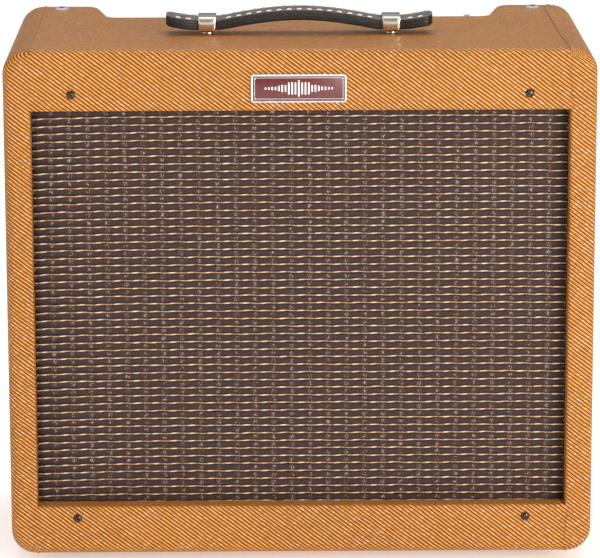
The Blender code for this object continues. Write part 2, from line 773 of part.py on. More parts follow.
def build_controls(metal, black, jewel, chrome):
    under = FLANGE_UNDER - GAP - PANEL_TOP  # the flange's underside, measured from the panel's top
    jack = [
        (0, under - JACK_DEPTH),
        (JACK_RADIUS + 0.002, under - JACK_DEPTH),
        (JACK_RADIUS + 0.002, under),
        (JACK_RADIUS, under),
        (JACK_RADIUS, GAP),
        (JACK_NUT_RADIUS, GAP),
        (JACK_NUT_RADIUS, GAP + JACK_NUT),
        (JACK_BORE, GAP + JACK_NUT),
        (JACK_BORE, under - JACK_DEPTH + 0.002),
        (0, under - JACK_DEPTH + 0.002),
    ]
    add("input_jack", turned(jack, 14), chrome, (JACK_X, CONTROL_Y, PANEL_TOP))

    plunger_end = under - CONTROL_DEPTH * 0.6
    button = [
        (0, plunger_end),
        (PLUNGER_RADIUS, plunger_end),
        (PLUNGER_RADIUS, BUTTON_TRAVEL + 0.0006),
        (BUTTON_RADIUS, BUTTON_TRAVEL + 0.0006),
        (BUTTON_RADIUS, BUTTON_TRAVEL + 0.0001 + BUTTON_HEIGHT),
        (BUTTON_RADIUS - 0.0006, BUTTON_TRAVEL + 0.0006 + BUTTON_HEIGHT),
        (0, BUTTON_TRAVEL + 0.0006 + BUTTON_HEIGHT),
    ]
    add("boost_button", turned(button, 12), black, (BUTTON_X, CONTROL_Y, PANEL_TOP))
    bore = PLUNGER_RADIUS + BORE_CLEARANCE
    case = [
        (0, under - CONTROL_DEPTH),
        (BUTTON_RADIUS + 0.002, under - CONTROL_DEPTH),
        (BUTTON_RADIUS + 0.002, under),
        (BUTTON_RADIUS, under),
        (BUTTON_RADIUS, GAP),
        (bore, GAP),
        (bore, plunger_end - BUTTON_TRAVEL - 0.0006),
        (0, plunger_end - BUTTON_TRAVEL - 0.0006),
    ]
    add("boost_switch", turned(case, 12), metal, (BUTTON_X, CONTROL_Y, PANEL_TOP))

    lamp = [
        (0, under - LAMP_DEPTH),
        (LAMP_RADIUS, under - LAMP_DEPTH),
        (LAMP_RADIUS, GAP),
        (LAMP_BEZEL, GAP),
        (LAMP_BEZEL - 0.0008, 0.0022),
        (LAMP_RADIUS, 0.0030),
        (LAMP_RADIUS * 0.85, LAMP_RISE * 0.70),
        (LAMP_RADIUS * 0.45, LAMP_RISE * 0.95),
        (0, LAMP_RISE),
    ]
    add("pilot_lamp", turned(lamp, 14), jewel, (LAMP_X, CONTROL_Y, PANEL_TOP))

    width, depth, height = POWER_CASE
    place = (POWER_X, CONTROL_Y, PANEL_TOP)
    case = box((-width / 2, -depth / 2, under - height), (width / 2, depth / 2, under))
    switch = add("power_switch", case, metal, place)
    neck = turned(
        [
            (0, under - height / 2),
            (POWER_BUSHING, under - height / 2),
            (POWER_BUSHING, POWER_BUSHING_RISE),
            (POWER_BORE, POWER_BUSHING_RISE),
            (POWER_BORE, -0.0020),
            (0, -0.0020),
        ],
        14,
    )
    combine(switch, "UNION", add("power_neck", neck, None, place))
    ball = LEVER_BALL_RADIUS
    tip = LEVER_TIP_RADIUS
    seat = asin(LEVER_STEM_RADIUS / ball)
    lever = [(0, -ball)]
    lever += [(ball * sin(a), -ball * cos(a)) for a in (radians(45), radians(90))]
    lever += [
        (LEVER_STEM_RADIUS, ball * cos(seat)),
        (tip, LEVER_LENGTH - 2.2 * tip),
        (tip, LEVER_LENGTH - tip * 0.8),
        (tip * 0.72, LEVER_LENGTH - tip * 0.2),
        (0, LEVER_LENGTH),
    ]
    pivot = (POWER_X, CONTROL_Y, PANEL_TOP + LEVER_PIVOT_RISE)
    add("power_lever", turned(lever, 10), chrome, pivot, (radians(-LEVER_TILT), 0, 0))


def build_electronics(laminate, glass, iron):
    sheet = box(
        (CIRCUIT_LEFT_X, CIRCUIT_FRONT_Y, CIRCUIT_TOP - BOARD_THICK),
        (CIRCUIT_RIGHT_X, CIRCUIT_REAR_Y, CIRCUIT_TOP),
    )
    board = add("circuit_board", sheet, laminate)
    under = CIRCUIT_TOP - BOARD_THICK / 2
    places = [(x, CAPACITOR_Y) for x in CAPACITOR_X]
    cans = cylinders(places, CAPACITOR_RADIUS, under - CAPACITOR_LENGTH, under, 2, 10)
    combine(board, "UNION", add("capacitors", cans))

    for name, x, radius, height in TUBES:
        profile = [
            (0, 0),
            (radius * 0.9, 0),
            (radius * 0.9, -0.004),
            (radius, -0.006),
            (radius, -height + radius),
            (radius * 0.70, -height + radius * 0.25),
            (0.0018, -height),
            (0, -height - 0.0035),
        ]
        add(name, turned(profile, 12), glass, (x, TUBE_Y, CHASSIS_BOTTOM - GAP))

    for name, (x, y, width, depth, height) in (
        ("power_transformer", POWER_TRANSFORMER),
        ("output_transformer", OUTPUT_TRANSFORMER),
    ):
        top = CHASSIS_BOTTOM - GAP
        core = CORE_SHARE * depth / 2
        core_block = box((x - width / 2, y - core, top - height), (x + width / 2, y + core, top))
        body = add(name, core_block, iron)
        inset = BELL_INSET
        bells = bevelled_box(
            (x - width / 2 + inset, y - depth / 2, top - height + inset),
            (x + width / 2 - inset, y + depth / 2, top - inset),
            0.006,
        )
        combine(body, "UNION", add(name + "_bells", bells))


def build_inlet(plastic):
    plate, body, recess, pin = INLET_PLATE, INLET_BODY, INLET_RECESS, INLET_PIN
    top = CHASSIS_BOTTOM - GAP
    low = top - plate[2]

    def centred(size, bottom, x=0.0, y=0.0):
        half_x, half_y = size[0] / 2, size[1] / 2
        return box((x - half_x, y - half_y, bottom), (x + half_x, y + half_y, bottom + size[2]))

    place = (INLET_X, INLET_Y, 0)
    inlet = add("mains_inlet", centred(plate, low), plastic, place)
    combine(inlet, "UNION", add("inlet_body", centred(body, low + 0.001), None, place))
    cut(inlet, add("inlet_recess", centred(recess, low - 0.001), None, place))
    roof = low - 0.001 + recess[2]
    pins = ((-INLET_PIN_SPREAD, -INLET_PIN_ROW), (INLET_PIN_SPREAD, -INLET_PIN_ROW), (0, INLET_PIN_ROW))
    for number, (x, y) in enumerate(pins, 1):
        blade = centred((pin[1], pin[0], pin[2]), roof - pin[2] + 0.001, x, y)
        combine(inlet, "UNION", add(f"inlet_pin_{number}", blade, None, place))


# ---------------------------------------------------------------- loudspeaker
def build_speaker(steel, paper, magnet, copper):
    """Everything here is turned round the loudspeaker's own axis, which points to +Y."""
    centre = (0, 0, SPEAKER_Z)
    sheet = BASKET_SHEET
    front, rear = BASKET_FRONT_Y, BASKET_REAR_Y
    wall = BASKET_FLANGE_INNER + sheet
    profile = [
        (BASKET_FLANGE_INNER, front),
        (SPEAKER_RADIUS, front),
        (SPEAKER_RADIUS, front + sheet),
        (wall, front + sheet),
        (wall, front + BASKET_STRAIGHT),
        (BASKET_BACK_RADIUS, rear - 0.006),
        (BASKET_BACK_RADIUS, rear),
        (BASKET_BACK_HOLE, rear),
        (BASKET_BACK_HOLE, rear - 2 * sheet),
        (BASKET_BACK_RADIUS - sheet, rear - 2 * sheet),
        (BASKET_BACK_RADIUS - sheet, rear - 0.0068),
        (BASKET_FLANGE_INNER, front + BASKET_STRAIGHT),
    ]
    basket = add("speaker_basket", turned(profile, 32, axis=1), steel, centre)
    wedges = []
    for k in range(BASKET_WINDOWS):
        middle = 360 / BASKET_WINDOWS * (k + 0.5)
        first, last = middle - BASKET_WINDOW_HALF, middle + BASKET_WINDOW_HALF
        near = arc((0, 0), BASKET_BACK_RADIUS + 0.008, last, first, 2)
        far = arc((0, 0), SPEAKER_RADIUS, first, last, 2)
        wedges.append(extruded(near + far, 1, front + BASKET_STRAIGHT + 0.004, rear - 0.009))
    cut(basket, add("basket_windows", gathered(wedges), None, centre))

    thick = CONE_THICK
    face = CONE_FRONT_Y
    apex = face + CONE_DEPTH
    slope = [(0.0, 0.0), (0.35, 0.42), (0.70, 0.76), (1.0, 1.0)]  # a slightly flared cone
    outside = [(CONE_RADIUS + (CONE_NECK - CONE_RADIUS) * u, face + CONE_DEPTH * v) for u, v in slope]
    cap_y = face + CONE_DEPTH * 0.90
    cap = DUST_CAP_RADIUS
    profile = [
        (CONE_RADIUS, face),
        *[(r, y) for r, y in outside[1:-1]],
        (cap, cap_y),
        (cap * 0.72, cap_y - DUST_CAP_HEIGHT * 0.62),
        (cap * 0.38, cap_y - DUST_CAP_HEIGHT * 0.92),
        (0, cap_y - DUST_CAP_HEIGHT),
        (0, cap_y - DUST_CAP_HEIGHT + thick),
        (cap * 0.36, cap_y - DUST_CAP_HEIGHT * 0.92 + thick),
        (cap * 0.66, cap_y - DUST_CAP_HEIGHT * 0.55 + thick),
        (CONE_NECK, apex),
        (CONE_NECK, apex + thick),
        *[(r, y + 1.4 * thick) for r, y in outside[1:-1][::-1]],
        (CONE_RADIUS, face + thick),
    ]
    add("speaker_cone", turned(profile, 28, axis=1), paper, centre)

    coil = COIL_RADIUS
    start, end = apex + thick + GAP, MAGNET_FRONT_Y + MAGNET_PLATE + 0.001
    profile = [(coil, start), (coil + COIL_THICK, start), (coil + COIL_THICK, end), (coil, end)]
    add("voice_coil", turned(profile, 20, axis=1), copper, centre)

    top = MAGNET_FRONT_Y
    ring = top + MAGNET_PLATE
    back = ring + MAGNET_THICK
    end = back + MAGNET_BACK
    profile = [
        (0, top),
        (POLE_RADIUS, top),
        (POLE_RADIUS, back),
        (MAGNET_BORE, back),
        (MAGNET_BORE, ring),
        (GAP_OUTER_RADIUS, ring),
        (GAP_OUTER_RADIUS, top),
        (MAGNET_PLATE_RADIUS, top),
        (MAGNET_PLATE_RADIUS, ring),
        (MAGNET_RADIUS, ring),
        (MAGNET_RADIUS, back),
        (MAGNET_PLATE_RADIUS, back),
        (MAGNET_PLATE_RADIUS - 0.004, end),
        (0, end),
    ]
    add("speaker_magnet", turned(profile, 28, axis=1), magnet, centre)


def build_tank(steel):
    width, depth, height = TANK
    low = FLOOR_Z + GAP
    left, right = TANK_X - width / 2, TANK_X + width / 2
    front, rear = TANK_Y - depth / 2, TANK_Y + depth / 2
    can = bevelled_box((left, front, low), (right, rear, low + height), 0.0015, 1)
    tank = add("reverb_tank", can, steel)
    sheet = TANK_SHEET
    inside = box(
        (left + sheet, front + sheet, low - 0.01), (right - sheet, rear - sheet, low + height - sheet)
    )
    cut(tank, add("tank_inside", inside))


def smooth_route(points, per_span):
    """Points along a Catmull-Rom curve through the given ones."""
    given = [Vector(p) for p in points]
    ends = [2 * given[0] - given[1], *given, 2 * given[-1] - given[-2]]
    route = []
    for a, b, c, d in zip(ends, ends[1:], ends[2:], ends[3:]):
        square, cube = 2 * a - 5 * b + 4 * c - d, 3 * b - a - 3 * c + d
        for k in range(per_span):
            t = k / per_span
            route.append(0.5 * (2 * b + (c - a) * t + square * t**2 + cube * t**3))
    route.append(given[-1])
    return route


def build_lead(material):
    """The loudspeaker lead, held at both ends."""
    data = bpy.data.curves.new("speaker_lead", "CURVE")
    data.dimensions = "3D"
    data.bevel_depth = LEAD_DIAMETER / 2
    data.bevel_resolution = 2
    data.use_fill_caps = True
    route = smooth_route(LEAD_ROUTE, 2)
    spline = data.splines.new("POLY")
    spline.points.add(len(route) - 1)
    for point, place in zip(spline.points, route):
        point.co = (*place, 1.0)
    data.materials.append(material)
    lead = bpy.data.objects.new("speaker_lead", data)
    bpy.context.scene.collection.objects.link(lead)


def build():
    clear_scene()
    wood = finish("pine", (0.60, 0.42, 0.24), 0.7)
    ply = finish("birch_ply", (0.55, 0.40, 0.25), 0.7)
    tweed = finish("lacquered_tweed", (0.62, 0.32, 0.10), 0.45)
    grille = finish("grille_cloth", (0.10, 0.055, 0.045), 0.7)
    leather = finish("black_leather", (0.02, 0.02, 0.02), 0.45)
    nickel = finish("nickel_plate", (0.80, 0.78, 0.74), 0.15, 1.0)
    chrome = finish("chrome", (0.85, 0.85, 0.87), 0.10, 1.0)
    steel = finish("zinc_steel", (0.60, 0.60, 0.60), 0.35, 1.0)
    dark_steel = finish("black_oxide_steel", (0.05, 0.045, 0.045), 0.35, 1.0)
    iron = finish("black_enamel", (0.03, 0.03, 0.03), 0.4)
    rubber = finish("rubber", (0.02, 0.02, 0.02), 0.8)
    black = finish("black_phenolic", (0.02, 0.018, 0.016), 0.25)
    plastic = finish("black_nylon", (0.03, 0.03, 0.03), 0.5)
    jewel = finish("red_jewel", (0.60, 0.02, 0.02), 0.05)
    glass = finish("tube_glass", (0.75, 0.80, 0.82), 0.03, alpha=0.35)
    laminate = finish("circuit_laminate", (0.30, 0.36, 0.12), 0.5)
    paper = finish("cone_paper", (0.06, 0.055, 0.05), 0.9)
    magnet = finish("magnet_black", (0.04, 0.04, 0.045), 0.45)
    copper = finish("copper", (0.75, 0.36, 0.20), 0.3, 1.0)
    jacket = finish("lead_jacket", (0.03, 0.03, 0.03), 0.5)

    build_cabinet(wood, ply, tweed, grille)
    build_nameplate(chrome)
    build_feet(rubber)
    build_fasteners(dark_steel, chrome)
    build_handle(leather, nickel)
    build_chassis(steel, chrome)
    build_knobs(black, steel)
    build_controls(steel, black, jewel, chrome)
    build_electronics(laminate, glass, iron)
    build_inlet(plastic)
    build_speaker(dark_steel, paper, magnet, copper)
    build_tank(steel)
    build_lead(jacket)


build()
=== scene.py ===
import math
import random
import bmesh
import bpy
from mathutils import Matrix, Vector, noise


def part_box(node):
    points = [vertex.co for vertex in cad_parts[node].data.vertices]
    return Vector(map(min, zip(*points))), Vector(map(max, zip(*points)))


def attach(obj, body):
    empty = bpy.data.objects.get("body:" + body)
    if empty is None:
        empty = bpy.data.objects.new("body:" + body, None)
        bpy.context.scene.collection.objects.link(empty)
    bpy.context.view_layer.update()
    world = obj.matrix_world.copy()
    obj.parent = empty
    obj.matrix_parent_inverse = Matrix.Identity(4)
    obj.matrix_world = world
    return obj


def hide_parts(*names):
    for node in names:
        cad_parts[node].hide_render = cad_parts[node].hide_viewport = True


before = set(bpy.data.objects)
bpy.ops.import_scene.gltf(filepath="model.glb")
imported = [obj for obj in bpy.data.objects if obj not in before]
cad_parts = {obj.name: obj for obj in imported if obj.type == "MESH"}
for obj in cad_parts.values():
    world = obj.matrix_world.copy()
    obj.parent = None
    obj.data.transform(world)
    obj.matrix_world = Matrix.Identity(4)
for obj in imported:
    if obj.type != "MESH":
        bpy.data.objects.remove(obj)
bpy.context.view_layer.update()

mm = 0.001
scene = bpy.context.scene


def toLinear(hexColour):  # sRGB hex to the linear values that shaders take
    parts = [int(hexColour[i:i + 2], 16) / 255 for i in (1, 3, 5)]
    return [*(p / 12.92 if p <= 0.04045 else ((p + 0.055) / 1.055) ** 2.4 for p in parts), 1.0]


def addNode(tree, kind, settings=None, inputs=None):  # one node with its settings, values and links
    made = tree.nodes.new(kind)
    for name, value in (settings or {}).items():
        if name == "stops":  # the colours of a ramp, from low to high
            stops = made.color_ramp.elements
            while len(stops) < len(value):
                stops.new(0.5)
            for stop, (place, colour) in zip(stops, value):
                stop.position, stop.color = place, toLinear(colour)
        else:
            setattr(made, name, value)
    for name, value in (inputs or {}).items():
        if isinstance(value, bpy.types.NodeSocket):
            tree.links.new(value, made.inputs[name])
        else:
            made.inputs[name].default_value = toLinear(value) if isinstance(value, str) else value
    return made


def newMaterial(name, finish):
    made = bpy.data.materials.new(name)
    made.use_nodes = True
    tree = made.node_tree
    tree.nodes.clear()
    shader = addNode(tree, "ShaderNodeBsdfPrincipled", inputs=finish)
    addNode(tree, "ShaderNodeOutputMaterial", inputs={"Surface": shader.outputs[0]})
    return made, tree, shader


def clouded(name, finish, tones, grain, stretch=(1, 1, 1), polish=None, bump=0.0, detail=4.0):
    # A finish whose tone, polish and relief all wander by one noise of the given grain, in mm.
    made, tree, shader = newMaterial(name, finish)
    place = addNode(tree, "ShaderNodeTexCoord").outputs["Object"]
    place = addNode(tree, "ShaderNodeMapping", inputs={"Vector": place, "Scale": stretch}).outputs[0]
    cloud = addNode(tree, "ShaderNodeTexNoise",
                    inputs={"Vector": place, "Scale": 1 / (grain * mm), "Detail": detail}).outputs["Fac"]
    tone = addNode(tree, "ShaderNodeValToRGB", {"stops": [(0.34, tones[0]), (0.66, tones[1])]}, {"Fac": cloud})
    tree.links.new(tone.outputs[0], shader.inputs["Base Color"])
    if polish:
        gloss = addNode(tree, "ShaderNodeMapRange",
                        inputs={"Value": cloud, "From Min": 0.3, "From Max": 0.7,
                                "To Min": polish[0], "To Max": polish[1]})
        tree.links.new(gloss.outputs[0], shader.inputs["Roughness"])
    if bump:
        relief = addNode(tree, "ShaderNodeBump", inputs={"Height": cloud, "Distance": bump * mm, "Strength": 0.7})
        tree.links.new(relief.outputs[0], shader.inputs["Normal"])
    return made


def newPiece(name, mesh, materials, body="cabinet", instead=(), smooth=35, keepNormals=False):
    if not keepNormals:
        bmesh.ops.recalc_face_normals(mesh, faces=mesh.faces)
    data = bpy.data.meshes.new(name)
    mesh.to_mesh(data)
    mesh.free()
    for material in materials if isinstance(materials, (list, tuple)) else [materials]:
        data.materials.append(material)
    data.shade_smooth()
    data.set_sharp_from_angle(angle=math.radians(smooth))
    piece = bpy.data.objects.new(name, data)
    scene.collection.objects.link(piece)
    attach(piece, body)
    if instead:
        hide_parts(*instead)
    return piece


def refinish(node, material):  # a piece that stays as designed takes only a new finish
    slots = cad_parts[node].data.materials
    slots.clear()
    slots.append(material)


def applied(piece):  # bakes the piece's modifiers into its mesh
    graph = bpy.context.evaluated_depsgraph_get()
    data = bpy.data.meshes.new_from_object(piece.evaluated_get(graph))
    piece.modifiers.clear()
    piece.data = data
    return piece


def merged(meshes):
    whole = bmesh.new()
    for mesh in meshes:
        data = bpy.data.meshes.new("part")
        mesh.to_mesh(data)
        mesh.free()
        whole.from_mesh(data)
        bpy.data.meshes.remove(data)
    return whole


def moved(mesh, place=(0, 0, 0), turn=None, scale=None):
    matrix = Matrix.Translation(place)
    if turn:
        matrix = matrix @ Matrix.Rotation(math.radians(turn[1]), 4, turn[0])
    if scale:
        matrix = matrix @ Matrix.Diagonal((*scale, 1))
    mesh.transform(matrix)
    return mesh


def painted(mesh, index):  # gives every face of a mesh one of the piece's materials
    for face in mesh.faces:
        face.material_index = index
    return mesh


def loft(rings, closed=False, capped=True):
    mesh = bmesh.new()
    rows = [[mesh.verts.new(point) for point in ring] for ring in rings]
    pairs = list(zip(rows, rows[1:])) + ([(rows[-1], rows[0])] if closed else [])
    for first, second in pairs:
        for i in range(len(first)):
            j = (i + 1) % len(first)
            mesh.faces.new((first[i], first[j], second[j], second[i]))
    if capped and not closed:
        mesh.faces.new(rows[0][::-1])
        mesh.faces.new(rows[-1])
    return mesh


def lathe(profile, centre=(0, 0, 0), axis=2, segments=32, ring=False):
    # Spins (radius, height) points round an axis. A ring's profile closes on itself.
    mesh = bmesh.new()
    others = [(axis + 1) % 3, (axis + 2) % 3]
    rows = []
    for radius, height in profile:
        row = []
        for k in range(segments if radius > 1e-7 else 1):
            place = [0.0, 0.0, 0.0]
            angle = math.tau * k / segments
            place[others[0]], place[others[1]], place[axis] = radius * math.cos(angle), radius * math.sin(angle), height
            row.append(mesh.verts.new(Vector(place) + Vector(centre)))
        rows.append(row)
    for first, second in list(zip(rows, rows[1:])) + ([(rows[-1], rows[0])] if ring else []):
        if len(first) == len(second) == 1:
            continue
        for k in range(segments):
            n = (k + 1) % segments
            corners = [first[k % len(first)], first[n % len(first)], second[n % len(second)],
                       second[k % len(second)]]
            mesh.faces.new(list(dict.fromkeys(corners)))
    return mesh


def inMetres(profile):  # (radius, height) points given in mm
    return [(r * mm, h * mm) for r, h in profile]


def block(low, high, edge=0.0004, steps=2):  # a box with its edges eased
    mesh = bmesh.new()
    bmesh.ops.create_cube(mesh, size=1.0)
    low, high = Vector(low), Vector(high)
    for vertex in mesh.verts:
        vertex.co = Vector(low[i] + (vertex.co[i] + 0.5) * (high[i] - low[i]) for i in range(3))
    if edge:
        bmesh.ops.bevel(mesh, geom=mesh.edges[:], offset=edge, segments=steps, affect="EDGES", profile=0.5)
    return mesh


def tube(path, radius, sides=8, capped=True):  # a round bar along a path; radius may be one for each point
    points = [Vector(p) for p in path]
    radii = radius if isinstance(radius, (list, tuple)) else [radius] * len(points)
    rings, side = [], None
    for k, point in enumerate(points):
        along = (points[min(k + 1, len(points) - 1)] - points[max(k - 1, 0)]).normalized()
        if side is None:
            side = along.orthogonal().normalized()
        side = (side - along * side.dot(along)).normalized()
        other = along.cross(side)
        rings.append([point + radii[k] * (math.cos(a) * side + math.sin(a) * other)
                      for a in (math.tau * i / sides for i in range(sides))])
    return loft(rings, capped=capped)


def arcPoints(centre, radius, first, last, steps):
    angles = [math.radians(first + (last - first) * k / steps) for k in range(steps + 1)]
    return [(centre[0] + radius * math.cos(a), centre[1] + radius * math.sin(a)) for a in angles]


def roundedRectangle(left, right, low, high, radius, steps=5):
    return [
        *arcPoints((right - radius, high - radius), radius, 0, 90, steps),
        *arcPoints((left + radius, high - radius), radius, 90, 180, steps),
        *arcPoints((left + radius, low + radius), radius, 180, 270, steps),
        *arcPoints((right - radius, low + radius), radius, 270, 360, steps),
    ]


def centred(node):
    low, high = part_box(node)
    return (low + high) / 2


# The camera stands a little left of the middle and looks down, with a long lens.
view = {"place": (-0.02778, -2.81665, 0.84409), "pitch": 12.76, "yaw": 0.516, "roll": -0.157,
        "lens": 214.28, "shift": (0.00605, -0.00062)}


def makeCamera():
    pitch, yaw, roll = (math.radians(view[k]) for k in ("pitch", "yaw", "roll"))
    ahead = Vector((math.sin(yaw) * math.cos(pitch), math.cos(yaw) * math.cos(pitch), -math.sin(pitch)))
    right = Vector((math.cos(yaw), -math.sin(yaw), 0))
    up = right.cross(ahead)
    right, up = (math.cos(roll) * right + math.sin(roll) * up, -math.sin(roll) * right + math.cos(roll) * up)
    data = bpy.data.cameras.new("photoCamera")
    data.lens, data.sensor_width = view["lens"], 36.0
    data.shift_x, data.shift_y = view["shift"]
    data.clip_start, data.clip_end = 0.05, 60.0
    camera = bpy.data.objects.new("photoCamera", data)
    matrix = Matrix((right, up, -ahead)).transposed().to_4x4()
    matrix.translation = view["place"]
    camera.matrix_world = matrix
    scene.collection.objects.link(camera)
    scene.camera = camera


studio = {"room": ["#8d8d8f", "#d9d9da", "#ffffff"], "roomStrength": 0.80,
          # name, place, aimed at, width, depth, watts, colour
          "lamps": [("keySoftbox", (1.7, -2.6, 0.85), (0, 0, 0.12), 1.1, 1.0, 76, "#fff6ea"),
                    ("fillSoftbox", (-2.0, -1.7, 1.0), (0, 0, 0.2), 1.2, 1.2, 7, "#f2f6ff"),
                    ("topSoftbox", (0.1, 0.5, 2.4), (0, 0, 0.2), 1.6, 1.2, 15, "#fff3e2")]}


def makeStudio():
    scene.view_settings.view_transform = "Standard"
    world = bpy.data.worlds.new("softRoom")
    scene.world = world
    world.use_nodes = True
    tree = world.node_tree
    tree.nodes.clear()
    height = addNode(tree, "ShaderNodeSeparateXYZ",
                     inputs={0: addNode(tree, "ShaderNodeTexCoord").outputs["Generated"]}).outputs["Z"]
    ramp = addNode(tree, "ShaderNodeValToRGB",
                   {"stops": [(0.0, studio["room"][0]), (0.45, studio["room"][1]), (0.9, studio["room"][2])]},
                   {"Fac": height})
    sky = addNode(tree, "ShaderNodeBackground", inputs={"Color": ramp.outputs[0],
                                                        "Strength": studio["roomStrength"]})
    addNode(tree, "ShaderNodeOutputWorld", inputs={"Surface": sky.outputs[0]})
    for name, place, aim, width, depth, watts, colour in studio["lamps"]:
        data = bpy.data.lights.new(name, "AREA")
        data.shape, data.size, data.size_y, data.energy = "RECTANGLE", width, depth, watts
        data.color = toLinear(colour)[:3]
        lamp = bpy.data.objects.new(name, data)
        lamp.location = place
        lamp.rotation_euler = (Vector(place) - Vector(aim)).to_track_quat("Z", "Y").to_euler()
        scene.collection.objects.link(lamp)
    # White card that fills the view, and glows faintly as a lit sweep does, so that it comes out white.
    paper = clouded("matt white card", {"Roughness": 0.9, "Specular IOR Level": 0.1,
                                        "Emission Color": "#ffffff", "Emission Strength": 0.36},
                                        ("#f8f8f7", "#fbfbfa"), 300)
    mesh = bmesh.new()
    bmesh.ops.create_grid(mesh, x_segments=8, y_segments=8, size=14.0)
    data = bpy.data.meshes.new("floor")
    mesh.to_mesh(data)
    mesh.free()
    data.materials.append(paper)
    floor = bpy.data.objects.new("floor", data)
    floor.location.z = -0.0002
    scene.collection.objects.link(floor)


makeCamera()
makeStudio()
print("stage: camera, lamps and floor")

# Cotton twill under amber lacquer: slanted cords of short glossy beads, with dark amber pooled between them. The colour
# also follows each bead's height, as painted shade in the grooves and a painted highlight on the crests.
# A bead is drawn a little longer than a real one, about 1.1 mm, so that it shows.
tweed = {"cordPitch": 2.58, "cordSlope": 37.5, "beadPitch": 1.35, "relief": 0.44,
         "valley": "#653404", "flank": "#bf6c18", "crest": "#f5a63c", "paintedCrestHighlight": "#ffdc84", "glint": "#fff0e6"}


